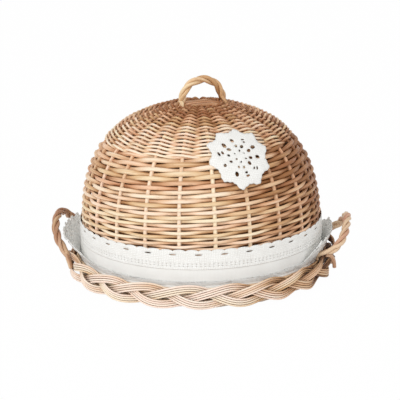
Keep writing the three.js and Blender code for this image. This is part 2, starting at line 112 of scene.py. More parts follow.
def plug(tree: Tree, node: bpy.types.Node, inputs: dict) -> None:
    """Links or sets a node's inputs.

    Args:
        tree: The node's tree.
        node: The node.
        inputs: Input name or number to a socket, which is linked, or to a value, which is set.
    """
    for key, value in inputs.items():
        if isinstance(value, Socket):
            tree.links.new(value, node.inputs[key])
        else:
            node.inputs[key].default_value = value


def add_node(tree: Tree, kind: str, inputs: dict | None = None, **settings: Any) -> bpy.types.Node:
    """Adds a node, with its settings, and links or sets its inputs.

    Args:
        tree: The tree that gets the node.
        kind: Blender's name for the kind of node.
        inputs: Its inputs, as plug() takes them.
        settings: The node's own properties.

    Returns:
        The new node.
    """
    node = tree.nodes.new(kind)
    for name, value in settings.items():
        setattr(node, name, value)
    plug(tree, node, inputs or {})
    return node


def calc(tree: Tree, operation: str, *values: Socket | float) -> Socket:
    """Adds one step of arithmetic and returns its result."""
    return add_node(tree, "ShaderNodeMath", dict(enumerate(values)), operation=operation).outputs[0]


def ranged(
    tree: Tree,
    value: Socket,
    start: float,
    stop: float,
    first: float = 0.0,
    last: float = 1.0,
    kind: str = "LINEAR",
) -> Socket:
    """Adds a step that maps one range to another.

    Args:
        tree: The tree that gets the step.
        value: What is mapped.
        start: The value that becomes first.
        stop: The value that becomes last.
        first: The result at and before the start.
        last: The result at and after the stop.
        kind: Blender's name for the way from one to the other.

    Returns:
        The result.
    """
    inputs = {"Value": value, "From Min": start, "From Max": stop, "To Min": first, "To Max": last}
    return add_node(tree, "ShaderNodeMapRange", inputs, interpolation_type=kind).outputs[0]


def joined(tree: Tree, x: Socket, y: Socket | float = 0.0, z: Socket | float = 0.0) -> Socket:
    """Adds a vector from its three parts and returns it."""
    return add_node(tree, "ShaderNodeCombineXYZ", {0: x, 1: y, 2: z}).outputs[0]


def blend(tree: Tree, share: Socket | float, under: Any, over: Any, kind: str = "MIX") -> Socket:
    """Adds a mix of two colours and returns its result."""
    inputs = {"Factor": share, 6: under, 7: over}
    return add_node(tree, "ShaderNodeMix", inputs, data_type="RGBA", blend_type=kind).outputs[2]


def colour_ramp(tree: Tree, value: Socket, places: Sequence[float], colours: Sequence[str]) -> Socket:
    """Adds a ramp of colours.

    Args:
        tree: The tree that gets the ramp.
        value: Where on the ramp to look.
        places: Where the colours stand, in order.
        colours: Their hex colours.

    Returns:
        The colour.
    """
    ramp = add_node(tree, "ShaderNodeValToRGB", {"Fac": value})
    stops = ramp.color_ramp.elements
    for place in places[1:-1]:
        stops.new(place)
    for stop, place, colour in zip(stops, places, colours):
        stop.position = place
        stop.color = linear(colour)
    return ramp.outputs["Color"]


def new_material(name: str) -> tuple[Material, Tree, bpy.types.Node]:
    """Makes a material.

    Args:
        name: The material's name.

    Returns:
        The material, its tree and its shader.
    """
    material = bpy.data.materials.new(name)
    material.use_nodes = True
    return material, material.node_tree, material.node_tree.nodes["Principled BSDF"]


def numbered(stem: str, i: int) -> str:
    """The name of the piece with a number that counts from one."""
    return f"{stem}_{i + 1:02d}"


def smoothstep(value: Points, low: float, high: float) -> Points:
    """Rises smoothly from 0 at low to 1 at high."""
    share = np.clip((value - low) / (high - low), 0, 1)
    return share * share * (3 - 2 * share)


def polar(radius: Points, angle: Points, height: Points) -> Points:
    """Points at a radius, an angle and a height, one row each."""
    radius, angle, height = np.broadcast_arrays(radius, angle, height)
    return np.stack([radius * np.cos(angle), radius * np.sin(angle), height], axis=-1)


def unit(vectors: Points) -> Points:
    """Each row scaled to a length of one."""
    return vectors / np.linalg.norm(vectors, axis=-1, keepdims=True)


def even_steps(line: Points, steps: int) -> Points:
    """Walks a line in equal steps.

    Args:
        line: The points that the line runs through.
        steps: How many steps to take.

    Returns:
        One point more than there are steps.
    """
    run = np.concatenate([[0], np.cumsum(np.linalg.norm(np.diff(line, axis=0), axis=1))])
    stops = np.linspace(0, run[-1], steps + 1)
    return np.stack([np.interp(stops, run, line[:, axis]) for axis in range(line.shape[1])], axis=-1)


def smooth_line(points: Sequence[Sequence[float]], steps: int) -> Points:
    """A smooth line through a few points, walked in equal steps.

    Args:
        points: The points that it passes through.
        steps: How many steps to take.

    Returns:
        The points of the line.
    """
    knots = np.array(points, float)
    knots = np.concatenate([[2 * knots[0] - knots[1]], knots, [2 * knots[-1] - knots[-2]]])
    share = np.linspace(0, 1, 16, endpoint=False)[:, None]
    spans = []
    for a, b, c, d in zip(knots, knots[1:], knots[2:], knots[3:]):
        cubic = share**3 * (3 * b - a - 3 * c + d)
        square = share**2 * (2 * a - 5 * b + 4 * c - d)
        spans.append((cubic + square + share * (c - a) + 2 * b) / 2)
    return even_steps(np.concatenate([*spans, knots[-2:-1]]), steps)


def new_object(name: str, points: Points, edges: list, faces: list) -> Piece:
    """Makes a mesh object from points in millimetres.

    Args:
        name: The object's name.
        points: One row per vertex.
        edges: Pairs of vertex numbers.
        faces: Rings of vertex numbers.

    Returns:
        The object, in the scene.
    """
    mesh = bpy.data.meshes.new(name)
    mesh.from_pydata((points * MM).tolist(), edges, faces)
    mesh.update()
    piece = bpy.data.objects.new(name, mesh)
    bpy.context.scene.collection.objects.link(piece)
    return piece


def made_plain(piece: Piece) -> Piece:
    """Replaces an object by its evaluated mesh, with no modifiers left.

    Args:
        piece: The object with its modifiers.

    Returns:
        A plain mesh object of the same name.
    """
    name = piece.name
    evaluated = piece.evaluated_get(bpy.context.evaluated_depsgraph_get())
    mesh = bpy.data.meshes.new_from_object(evaluated)
    bpy.data.objects.remove(piece)
    mesh.name = name
    plain = bpy.data.objects.new(name, mesh)
    bpy.context.scene.collection.objects.link(plain)
    return plain


def dress(piece: Piece, body: Body, slot: Slot, *nodes: str) -> Piece:
    """Ties a finished piece to its body and hides the CAD nodes it stands for.

    Args:
        piece: The finished piece.
        body: The body that it rides on.
        slot: The slot of its finish; not used.
        nodes: The CAD nodes that it replaces.

    Returns:
        The piece.
    """
    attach(piece, body.value)
    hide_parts(*nodes)
    log.info("%s rides on %s, %d faces", piece.name, body.value, len(piece.data.polygons))
    return piece


# Finishes


@dataclass(frozen=True)
class WillowFinish:
    """Willow rod, boiled, stripped of its bark and dried.

    To the eye it is a satin wood with fine streaks along the rod, a brown leaf scar here and there, and a
    tone and a tint that differ from rod to rod. It also has painted shade where a rod dips behind a stake,
    and painted light and shade that change across the basket.
    Lengths are in millimetres. The tone runs from 0, dark, to 1, pale.
    """

    name: str
    tones: tuple[str, str, str, str]
    tone_places: tuple[float, float, float, float] = (0.2, 0.42, 0.6, 0.82)
    tints: tuple[str, str, str, str] = ("#FFEAE0", "#FFF7F0", "#FFFCF0", "#F8F2DC")
    tint_places: tuple[float, float, float, float] = (0.0, 0.35, 0.7, 1.0)
    base_tone: float = -0.03
    rod_tone: float = 0.34
    streak_tone: float = 0.74
    patch_tone: float = 0.42
    # Painted shade: how much the tone falls for each unit of a rod's dip.
    dip_painted_shade: float = -0.24
    # Painted light and shade: the tone's slope along x, along the size of y and along z, per metre; the
    # default is paler to the left, the front and the back and darker upwards.
    painted_light_slope: tuple[float, float, float] = (-0.25, 1.9, -2.2)
    # Painted shade: how far the tone falls towards the right side, over the span of x given next, in
    # millimetres.
    painted_shade: float = -0.22
    painted_shade_across: tuple[float, float] = (20.0, 130.0)
    streak_length: float = 32.0
    streaks_round: float = 4.0
    streak_relief: float = 0.3
    patch: float = 80.0
    scar_spacing: float = 55.0
    scar_edge: tuple[float, float] = (0.74, 0.8)
    scar_depth: float = 0.4
    rough: tuple[float, float] = (0.38, 0.6)

    def material(self) -> Material:
        """Builds the finish's nodes.

        Returns:
            The material.
        """
        rods_apart, scar_size = 90.0, 9.0
        material, tree, shader = new_material(self.name)
        shade, along, around = (self.read(tree, name) for name in ("shade", "along", "around"))
        run = calc(tree, "MULTIPLY", along, 1 / (self.streak_length * MM))
        side = calc(tree, "MULTIPLY", around, self.streaks_round)
        rod = calc(tree, "MULTIPLY", shade, rods_apart)
        lengthwise = {"Vector": joined(tree, run, side, rod), "Scale": 1.0, "Detail": 4.0}
        streak = add_node(tree, "ShaderNodeTexNoise", lengthwise).outputs[0]
        joint = calc(tree, "MULTIPLY", along, 1 / (self.scar_spacing * MM))
        spread = {"Vector": joined(tree, joint, around, rod), "Scale": scar_size, "Detail": 0.0}
        scar = add_node(tree, "ShaderNodeTexNoise", spread).outputs[0]
        mark = ranged(tree, scar, *self.scar_edge, last=self.scar_depth)
        wood = self.colour(tree, shade, rod, streak)
        depth = {"Height": streak, "Strength": 0.5, "Distance": self.streak_relief * MM}
        inputs = {
            "Base Color": blend(tree, mark, wood, linear(self.tones[0])),
            "Roughness": ranged(tree, streak, 0.3, 0.7, *self.rough),
            "Normal": add_node(tree, "ShaderNodeBump", depth).outputs[0],
            "Specular IOR Level": 0.4,
        }
        plug(tree, shader, inputs)
        return material

    def read(self, tree: Tree, name: str) -> Socket:
        """Adds a value that the rods carry and returns it."""
        return add_node(tree, "ShaderNodeAttribute", attribute_name=name).outputs["Fac"]

    def colour(self, tree: Tree, shade: Socket, rod: Socket, streak: Socket) -> Socket:
        """Adds the colour of the wood, with its painted light and shade.

        Args:
            tree: The finish's tree.
            shade: A rod's own share, from 0 to 1.
            rod: A number for each rod.
            streak: The streaks along it.

        Returns:
            The colour.
        """
        # Painted light and shade across the basket, in the object's own space: the slope, and a darker right
        # side.
        spot = add_node(tree, "ShaderNodeTexCoord").outputs["Object"]
        across, deep, high = add_node(tree, "ShaderNodeSeparateXYZ", {0: spot}).outputs
        slope = {0: joined(tree, across, calc(tree, "ABSOLUTE", deep), high), 1: self.painted_light_slope}
        painted_light_slope = add_node(tree, "ShaderNodeVectorMath", slope, operation="DOT_PRODUCT").outputs["Value"]
        cloud = {"Vector": spot, "Scale": 1 / (self.patch * MM), "Detail": 1.0}
        patch = add_node(tree, "ShaderNodeTexNoise", cloud).outputs[0]
        start, stop = self.painted_shade_across
        painted_shade = ranged(tree, across, start * MM, stop * MM, last=self.painted_shade, kind="SMOOTHSTEP")
        tone = self.base_tone
        for part, weight in (
            (shade, self.rod_tone),
            (streak, self.streak_tone),
            (patch, self.patch_tone),
            (painted_light_slope, 1.0),
            (painted_shade, 1.0),
            # painted shade where a rod dips behind a stake, and painted light where its dip is below 0
            (self.read(tree, "dip"), self.dip_painted_shade),
        ):
            tone = calc(tree, "MULTIPLY_ADD", part, weight, tone)
        wood = colour_ramp(tree, tone, self.tone_places, self.tones)
        chance = add_node(tree, "ShaderNodeTexWhiteNoise", {"W": rod}, noise_dimensions="1D").outputs["Value"]
        return blend(tree, 1.0, wood, colour_ramp(tree, chance, self.tint_places, self.tints), "MULTIPLY")


@dataclass(frozen=True)
class CottonFinish:
    """Bleached cotton, woven or crocheted: matt white, with soft stains and painted shade between its
    threads.

    Its threads are drawn about twice as coarse as real ones, because those are too fine to show in a render.
    Those of crochet wobble. Lace is sheer as well: some of the light that falls on its back comes through.
    """

    name: str
    colour: str
    # The colour of the painted shade in the dips between threads, and of the soft stains.
    dip: str
    thread: float
    relief: float
    sheer: float = 0.0
    wobble: float = 0.6
    slub: float = 0.7

    def material(self) -> Material:
        """Builds the finish's nodes.

        Returns:
            The material.
        """
        slubs_a_metre, bands = 90.0, 20.0
        material, tree, shader = new_material(self.name)
        spot = add_node(tree, "ShaderNodeTexCoord").outputs
        scale = TURN / bands / (self.thread * MM)
        bent = {"Vector": spot["UV"], "Scale": scale, "Distortion": self.wobble, "Detail": 1.0}
        threads = [add_node(tree, "ShaderNodeTexWave", bent, bands_direction=way) for way in "XY"]
        lumps = {"Vector": spot["Object"], "Scale": slubs_a_metre, "Detail": 3.0}
        slub = add_node(tree, "ShaderNodeTexNoise", lumps).outputs[0]
        weave = calc(tree, "MULTIPLY", *[thread.outputs["Fac"] for thread in threads])
        height = calc(tree, "MULTIPLY_ADD", slub, self.slub, weave)
        depth = {"Height": height, "Strength": 0.6, "Distance": self.relief * MM}
        # The colour goes to the dip colour where the weave dips, a painted shade, and where the slub noise is
        # low, a soft stain.
        inputs = {
            "Base Color": blend(tree, ranged(tree, height, 0.2, 1.0), linear(self.dip), linear(self.colour)),
            "Normal": add_node(tree, "ShaderNodeBump", depth).outputs[0],
            "Roughness": 0.9,
            "Specular IOR Level": 0.2,
            "Sheen Weight": 0.1,
        }
        plug(tree, shader, inputs)
        through = add_node(tree, "ShaderNodeBsdfTranslucent", {"Color": linear(self.colour)}).outputs[0]
        lit = add_node(tree, "ShaderNodeMixShader", {0: self.sheer, 1: shader.outputs[0], 2: through})
        plug(tree, tree.nodes["Material Output"], {"Surface": lit.outputs[0]})
        return material


@dataclass(frozen=True)
class Finishes:
    """The basket's materials, each built once."""

    peeled: Material
    pale: Material
    brown: Material
    straw: Material
    cloth: Material
    lining: Material
    lace: Material
    frill: Material


def make_finishes() -> Finishes:
    """Builds the eight materials and returns them."""
    return Finishes(
        peeled=WillowFinish("peeled_buff_willow", ("#9C6A42", "#D2A882", "#EACCAC", "#FCEEDC")).material(),
        pale=WillowFinish(
            "pale_buff_willow",
            ("#643C22", "#D6B088", "#F2DCC6", "#FDF2E8"),
            tints=("#FFF2EA", "#FFF8F2", "#FFFCF4", "#FCF6E6"),
            painted_shade=-0.3,
        ).material(),
        brown=WillowFinish(
            "brown_buff_willow",
            ("#764A36", "#A0725A", "#BE947C", "#E4CAB0"),
            painted_light_slope=(0.4, 0.8, -1.0),
            painted_shade=0.0,
        ).material(),
        straw=WillowFinish(
            "straw_buff_willow",
            ("#8E623C", "#BE9268", "#D8B288", "#F2DCBA"),
            painted_light_slope=(0.0, 0.0, -0.4),
            painted_shade=0.0,
        ).material(),
        # Each cotton's second colour is that of its painted shade and soft stains.
        cloth=CottonFinish("bleached_cotton_cloth", "#F6F6F3", "#EEEDE9", 1.4, 0.1).material(),
        # The lining's dark brown is partly its own colour and partly painted shade for the gaps in the weave.
        lining=CottonFinish("brown_cotton_lining", "#8E6240", "#765034", 1.4, 0.2).material(),
        lace=CottonFinish("cotton_crochet_lace", "#FCFCF9", "#E6E4DF", 2.0, 0.38, wobble=5.0).material(),
        frill=CottonFinish("sheer_cotton_lace", "#FCFCFA", "#F0EFEB", 1.6, 0.25, sheer=0.18).material(),
    )


# Geometry Nodes trees


def socket_name(key: str) -> str:
    """The name of the input that a keyword sets."""
    return key.replace("_", " ").title()


class NodesTool:
    """A Geometry Nodes tree with named inputs, and the way to run it on an object."""

    def __init__(self, name: str, inputs: dict[str, str]) -> None:
        """Makes the tree and its sockets.

        Args:
            name: The tree's name.
            inputs: Each input's name, with its kind of socket.
        """
        self.tree = bpy.data.node_groups.new(name, "GeometryNodeTree")
        self.tree.is_modifier = True
        sockets = self.tree.interface
        sockets.new_socket(name="Geometry", in_out="OUTPUT", socket_type="NodeSocketGeometry")
        sockets.new_socket(name="Geometry", in_out="INPUT", socket_type="NodeSocketGeometry")
        self.names = {
            key: sockets.new_socket(name=key, in_out="INPUT", socket_type=kind).identifier
            for key, kind in inputs.items()
        }
        self.inputs = self.tree.nodes.new("NodeGroupInput").outputs

    def end(self, geometry: Socket) -> None:
        """Closes the tree with real geometry and its material.

        Args:
            geometry: What the tree has made.
        """
        real = add_node(self.tree, "GeometryNodeRealizeInstances", {0: geometry}).outputs[0]
        dressed = {0: real, "Material": self.inputs["Material"]}
        done = add_node(self.tree, "GeometryNodeSetMaterial", dressed)
        add_node(self.tree, "NodeGroupOutput", {0: done.outputs[0]})

    def run(self, piece: Piece, **values: Any) -> Piece:
        """Runs the tree on an object.

        Args:
            piece: The object that the tree starts from.
            values: The inputs, in small letters and with their spaces as underscores.

        Returns:
            The result as a plain mesh object.
        """
        modifier = piece.modifiers.new(self.tree.name, "NODES")
        modifier.node_group = self.tree
        for key, value in values.items():
            modifier[self.names[socket_name(key)]] = value
        return made_plain(piece)


@dataclass(frozen=True)
class Rod:
    """One rod: the line of its middle, its diameter at the start and at the end, and its dips.

    A dip is 0 where the rod lies in front, 1 where it is deepest behind a stake, more on a rod in the dark
    and below 0 on one that stands in the light. The finish paints a rod darker the higher its dip: painted
    shade behind stakes and in the dark, and painted light below 0.
    """

    line: Points
    start: float
    end: float | None = None
    closed: bool = False
    dip: Points | float = 0.0


class RodWeaver(NodesTool):
    """Sweeps rods along lines, each with its own tone and a slight hand-made wander."""

    def __init__(self) -> None:
        """Builds the tree."""
        super().__init__(
            "willow_rods",
            {
                "Sides": "NodeSocketInt",
                "Wander": "NodeSocketFloat",
                "Unevenness": "NodeSocketFloat",
                "Seed": "NodeSocketInt",
                "Material": "NodeSocketMaterial",
            },
        )
        rods_apart, lumps_a_metre = 40.0, 22.0
        tree, inputs = self.tree, self.inputs
        curve = add_node(tree, "GeometryNodeMeshToCurve", {0: inputs["Geometry"]}).outputs[0]
        chance = add_node(tree, "FunctionNodeRandomValue", {"Seed": inputs["Seed"]}, data_type="FLOAT")
        shade = add_node(tree, "GeometryNodeFieldOnDomain", {0: chance.outputs[1]}, domain="CURVE").outputs[0]
        lumps = {"W": calc(tree, "MULTIPLY", shade, rods_apart), "Scale": lumps_a_metre, "Detail": 1.0}
        noise = add_node(tree, "ShaderNodeTexNoise", lumps, noise_dimensions="4D").outputs
        about = {0: noise["Color"], 1: (0.5, 0.5, 0.5)}
        centred = add_node(tree, "ShaderNodeVectorMath", about, operation="SUBTRACT").outputs[0]
        far = {0: centred, "Scale": inputs["Wander"]}
        offset = add_node(tree, "ShaderNodeVectorMath", far, operation="SCALE").outputs[0]
        moved = add_node(tree, "GeometryNodeSetPosition", {0: curve, "Offset": offset}).outputs[0]
        spline = add_node(tree, "GeometryNodeSplineParameter").outputs
        line = self._stored(self._stored(moved, "shade", shade), "along", spline["Length"])
        facets = {"Resolution": inputs["Sides"], "Radius": 1.0}
        circle = add_node(tree, "GeometryNodeCurvePrimitiveCircle", facets)
        profile = self._stored(circle.outputs[0], "around", spline["Factor"])
        radius = add_node(tree, "GeometryNodeInputNamedAttribute", {"Name": "rod_radius"}, data_type="FLOAT")
        lump = calc(tree, "SUBTRACT", noise["Fac"], 0.5)
        swell = calc(tree, "MULTIPLY_ADD", lump, inputs["Unevenness"], 1.0)
        thick = calc(tree, "MULTIPLY", radius.outputs[0], swell)
        sweep = {0: line, 1: profile, "Scale": thick, "Fill Caps": True}
        swept = add_node(tree, "GeometryNodeCurveToMesh", sweep).outputs[0]
        self.end(add_node(tree, "GeometryNodeSetShadeSmooth", {0: swept}).outputs[0])

    def _stored(self, geometry: Socket, name: str, value: Socket) -> Socket:
        """Stores a value on each point under a name and returns the geometry."""
        inputs = {0: geometry, "Name": name, "Value": value}
        return add_node(self.tree, "GeometryNodeStoreNamedAttribute", inputs).outputs[0]

    def weave(
        self,
        name: str,
        rods: Sequence[Rod],
        material: Material,
        seed: int,
        sides: int = 8,
        wander: float = 1.0,
        unevenness: float = 0.3,
    ) -> Piece:
        """Makes one piece from a set of rods.

        Args:
            name: The piece's name.
            rods: The rods.
            material: Their finish.
            seed: Picks the rods' tones and wander.
            sides: Facets round a rod.
            wander: How far a rod strays from its line, in millimetres.
            unevenness: How much a rod's thickness varies, as a share.

        Returns:
            The piece.
        """
        edges = []
        radii = []
        dips = []
        count = 0
        for rod in rods:
            size = len(rod.line)
            edges += [(count + i, count + i + 1) for i in range(size - 1)]
            if rod.closed:
                edges.append((count + size - 1, count))
            end = rod.start if rod.end is None else rod.end
            radii.append(np.linspace(rod.start, end, size) / 2 * MM)
            dips.append(np.broadcast_to(rod.dip, size))
            count += size
        lines = new_object(name, np.concatenate([rod.line for rod in rods]), edges, [])
        for kind, values in (("rod_radius", radii), ("dip", dips)):
            attribute = lines.data.attributes.new(kind, "FLOAT", "POINT")
            attribute.data.foreach_set("value", np.concatenate(values).astype(np.float32))
        settings = {"sides": sides, "wander": wander * MM, "unevenness": unevenness}
        return self.run(lines, seed=seed, material=material, **settings)


@dataclass(frozen=True)
class LaceStrip:
    """A ring of lace: how many tiles go round, where it stands and how tall it is, in millimetres."""

    name: str
    count: int
    radius: float
    foot: float
    tall: float
    low: float
    at_feet: float
    hug: float
    ruffle: float
    thickness: float
    material: Material
    feet_angle: float = 1.0
    feet_shift: float = 0.0
    lean: float = 0.0
    lean_left: float = 0.0
    unevenness: float = 0.0

    @property
    def tile_width(self) -> float:
        """The width of one tile."""
        return TURN * self.radius / self.count

    def edge(self, scallops: int, notch: float, blunt: float, steps: int, side_steps: int) -> Points:
        """The edge of one tile, with a scalloped top.

        Args:
            scallops: How many scallops the tile has.
            notch: How deep they are cut, as a share of the height.
            blunt: The less, the fuller a scallop is.
            steps: Steps along the top, twice those along the foot.
            side_steps: Steps up each side.

        Returns:
            The corners, across in millimetres and up from 0 to 1.
        """
        width = self.tile_width
        across = np.linspace(0, width, steps + 1)
        bulge = np.abs(np.sin(math.pi * scallops * across / width)) ** blunt
        top = np.stack([across, 1 - notch * (1 - bulge)], axis=-1)
        foot = np.stack([np.linspace(width, 0, steps // 2 + 1), np.zeros(steps // 2 + 1)], axis=-1)
        sides = []
        for x, start, stop in ((width, top[-1, 1], 0), (0, 0, top[0, 1])):
            up = np.linspace(start, stop, side_steps + 1)[1:-1]
            sides.append(np.stack([np.full(len(up), x), up], axis=-1))
        return np.concatenate([top, sides[0], foot, sides[1]])


# What the lace tree takes from a strip, first lengths and then plain numbers
LACE_LENGTHS = ("tile_width", "radius", "foot", "tall", "low", "at_feet", "ruffle")
LACE_SHARES = ("feet_angle", "feet_shift", "lean", "lean_left", "hug", "unevenness")


class LaceMaker(NodesTool):
    """Repeats one flat tile of lace side by side and bends the strip into a ring.

    The tile's own height runs from 0 to 1. A strip stands tall inside the loops of the side handles, is low
    at their feet and of a middle height elsewhere. A second tile is used where the strip isn't tall.
    """

    def __init__(self) -> None:
        """Builds the tree."""
        super().__init__(
            "lace_strip",
            {
                "Tile": "NodeSocketObject",
                "Plain Tile": "NodeSocketObject",
                "Count": "NodeSocketInt",
                **{socket_name(field_name): "NodeSocketFloat" for field_name in LACE_LENGTHS + LACE_SHARES},
                "Material": "NodeSocketMaterial",
            },
        )
        tree, inputs = self.tree, self.inputs
        place = add_node(tree, "GeometryNodeInputPosition").outputs[0]
        along, tip, _ = add_node(tree, "ShaderNodeSeparateXYZ", {0: place}).outputs
        angle = calc(tree, "DIVIDE", along, inputs["Radius"])
        left_right = calc(tree, "COSINE", angle)
        turned = calc(tree, "MULTIPLY_ADD", left_right, inputs["Feet Shift"], angle)
        near = calc(tree, "ABSOLUTE", calc(tree, "WRAP", turned, math.pi / 2, -math.pi / 2))
        share = calc(tree, "DIVIDE", near, inputs["Feet Angle"])
        strip = self._tiles(share)
        tall_from, tall_to, low_from, low_to = 1.75, 0.95, 1.3, 2.0
        inside = ranged(tree, share, tall_from, tall_to, kind="SMOOTHSTEP")
        beyond = ranged(tree, share, low_from, low_to, kind="SMOOTHSTEP")
        rise = calc(tree, "SUBTRACT", inputs["Tall"], inputs["At Feet"])
        swell = calc(tree, "SUBTRACT", inputs["Low"], inputs["At Feet"])
        extra = calc(tree, "MULTIPLY_ADD", beyond, swell, calc(tree, "MULTIPLY", inside, rise))
        full = calc(tree, "ADD", extra, inputs["At Feet"])
        uneven = calc(tree, "MULTIPLY", self._waves(place, 28.0), inputs["Unevenness"])
        height = calc(tree, "MULTIPLY_ADD", full, uneven, full)
        aside = calc(tree, "MULTIPLY", left_right, inputs["Lean Left"])
        slope = calc(tree, "SUBTRACT", inputs["Lean"], aside)
        hug = calc(tree, "MULTIPLY", inputs["At Feet"], inputs["Hug"])
        lean = calc(tree, "MULTIPLY", calc(tree, "SUBTRACT", calc(tree, "MULTIPLY", extra, slope), hug), tip)
        wave = calc(tree, "MULTIPLY", self._waves(place, 55.0), tip)
        loose = calc(tree, "MULTIPLY", inputs["Ruffle"], calc(tree, "DIVIDE", full, inputs["Tall"]))
        ruffle = calc(tree, "MULTIPLY_ADD", wave, loose, lean)
        radius = calc(tree, "ADD", ruffle, inputs["Radius"])
        bent = joined(
            tree,
            calc(tree, "MULTIPLY", radius, left_right),
            calc(tree, "MULTIPLY", radius, calc(tree, "SINE", angle)),
            calc(tree, "MULTIPLY_ADD", height, tip, inputs["Foot"]),
        )
        ring = add_node(tree, "GeometryNodeSetPosition", {0: strip, "Position": bent}).outputs[0]
        self.end(add_node(tree, "GeometryNodeMergeByDistance", {0: ring, "Distance": 0.02 * MM}).outputs[0])

    def _tiles(self, share: Socket) -> Socket:
        """Adds the flat row of tiles.

        Args:
            share: How far a tile is from the middle of a handle, 1 at its feet.

        Returns:
            The row.
        """
        tree, inputs = self.tree, self.inputs
        step = joined(tree, inputs["Tile Width"])
        row = add_node(tree, "GeometryNodeMeshLine", {"Count": inputs["Count"], "Offset": step}).outputs[0]
        tall_here = calc(tree, "LESS_THAN", share, 1.0)
        tiles = add_node(tree, "GeometryNodeJoinGeometry")
        for which, chosen in (("Tile", tall_here), ("Plain Tile", calc(tree, "SUBTRACT", 1.0, tall_here))):
            tile = add_node(tree, "GeometryNodeObjectInfo", {"Object": inputs[which]}).outputs["Geometry"]
            choice = {0: row, "Selection": chosen, "Instance": tile}
            placed = add_node(tree, "GeometryNodeInstanceOnPoints", choice)
            tree.links.new(placed.outputs[0], tiles.inputs[0])
        return add_node(tree, "GeometryNodeRealizeInstances", {0: tiles.outputs[0]}).outputs[0]

    def _waves(self, place: Socket, waves_a_metre: float) -> Socket:
        """Adds uneven waves about zero.

        Args:
            place: Where the tiles lie.
            waves_a_metre: How close the waves are.

        Returns:
            The waves, from about -0.5 to 0.5.
        """
        inputs = {"Vector": place, "Scale": waves_a_metre, "Detail": 1.0}
        noise = add_node(self.tree, "ShaderNodeTexNoise", inputs).outputs["Fac"]
        return calc(self.tree, "SUBTRACT", noise, 0.5)

    def make(self, strip: LaceStrip, edge: Points, holes: list, elsewhere: list) -> Piece:
        """Makes a ring of lace.

        Args:
            strip: Its sizes and its finish.
            edge: The edge of its tile.
            holes: The tile's holes where the strip is tall.
            elsewhere: The tile's holes where it isn't.

        Returns:
            The ring, with its thickness.
        """
        tiles = [lace_tile(strip.name, edge, pierced, strip.tall) for pierced in (holes, elsewhere)]
        ring = self.run(
            new_object(strip.name, np.zeros((1, 3)), [], []),
            tile=tiles[0],
            plain_tile=tiles[1],
            count=strip.count,
            material=strip.material,
            **{name: getattr(strip, name) * MM for name in LACE_LENGTHS},
            **{name: getattr(strip, name) for name in LACE_SHARES},
        )
        for tile in tiles:
            bpy.data.objects.remove(tile)
        return thickened(ring, strip.thickness, strip.material)


# Cloth helpers


def inside_ring(points: Points, ring: Points) -> Points:
    """Tests which points lie within a closed ring of corners.

    Args:
        points: One row of x and y per point.
        ring: The corners, in order.

    Returns:
        True for each point that lies inside.
    """
    x, y = points[:, :1], points[:, 1:]
    ax, ay = ring[:, 0], ring[:, 1]
    bx, by = np.roll(ax, -1), np.roll(ay, -1)
    spans = (ay > y) != (by > y)
    with np.errstate(divide="ignore", invalid="ignore"):
        cross = x < (bx - ax) * (y - ay) / (by - ay) + ax
    return (spans & cross).sum(axis=1) % 2 == 1


def oval(x: float, y: float, width: float, height: float, tilt: float = 0.0, corners: int = 10) -> Points:
    """The corners of an oval.

    Args:
        x: Its middle, across.
        y: Its middle, up.
        width: Its full width.
        height: Its full height.
        tilt: How far it is turned, in radians.
        corners: How many corners it has.

    Returns:
        One row of x and y per corner.
    """
    turn = np.linspace(0, TURN, corners, endpoint=False)
    across, up = np.cos(turn) * width / 2, np.sin(turn) * height / 2
    right = x + across * math.cos(tilt) - up * math.sin(tilt)
    return np.stack([right, y + across * math.sin(tilt) + up * math.cos(tilt)], axis=-1)


def pierced_plate(outline: Points, holes: Sequence[Points], spacing: float) -> tuple[Points, list]:
    """Fills an outline with triangles, leaving holes.

    Args:
        outline: The outer corners, in order.
        holes: The corners of each hole.
        spacing: How far apart the inner points lie.

    Returns:
        The points, and the triangles as corner numbers.
    """
    rings = [outline, *holes]
    edges = []
    count = 0
    for ring in rings:
        size = len(ring)
        edges += [(count + i, count + (i + 1) % size) for i in range(size)]
        count += size
    low, high = outline.min(axis=0), outline.max(axis=0)
    across = np.arange(low[0] + spacing / 2, high[0], spacing)
    up = np.arange(low[1] + spacing / 2, high[1], spacing)
    grid = np.stack(np.meshgrid(across, up), axis=-1).reshape(-1, 2)
    edge_points = np.concatenate(rings)
    apart = np.linalg.norm(grid[:, None] - edge_points[None], axis=-1).min(axis=1)
    kept = grid[(apart > spacing / 2) & inside_ring(grid, outline)]
    corners = [Vector(p) for p in np.concatenate([edge_points, kept])]
    flat, _, triangles, *_ = delaunay_2d_cdt(corners, edges, [], 1, 1e-6)
    flat = np.array([tuple(p) for p in flat])
    middles = np.array([flat[list(t)].mean(axis=0) for t in triangles])
    open_air = np.zeros(len(middles), bool)
    for hole in holes:
        open_air |= inside_ring(middles, hole)
    return flat, [list(t) for t, gone in zip(triangles, open_air) if not gone]


def set_uv(piece: Piece, flat: Points) -> None:
    """Gives a piece a UV map in metres.

    Args:
        piece: The piece.
        flat: Each vertex's place on the flat cloth, in millimetres.
    """
    layer = piece.data.uv_layers.new(name="UVMap")
    corner = np.zeros(len(piece.data.loops), np.int32)
    piece.data.loops.foreach_get("vertex_index", corner)
    layer.data.foreach_set("uv", (flat[corner] * MM).astype(np.float32).ravel())


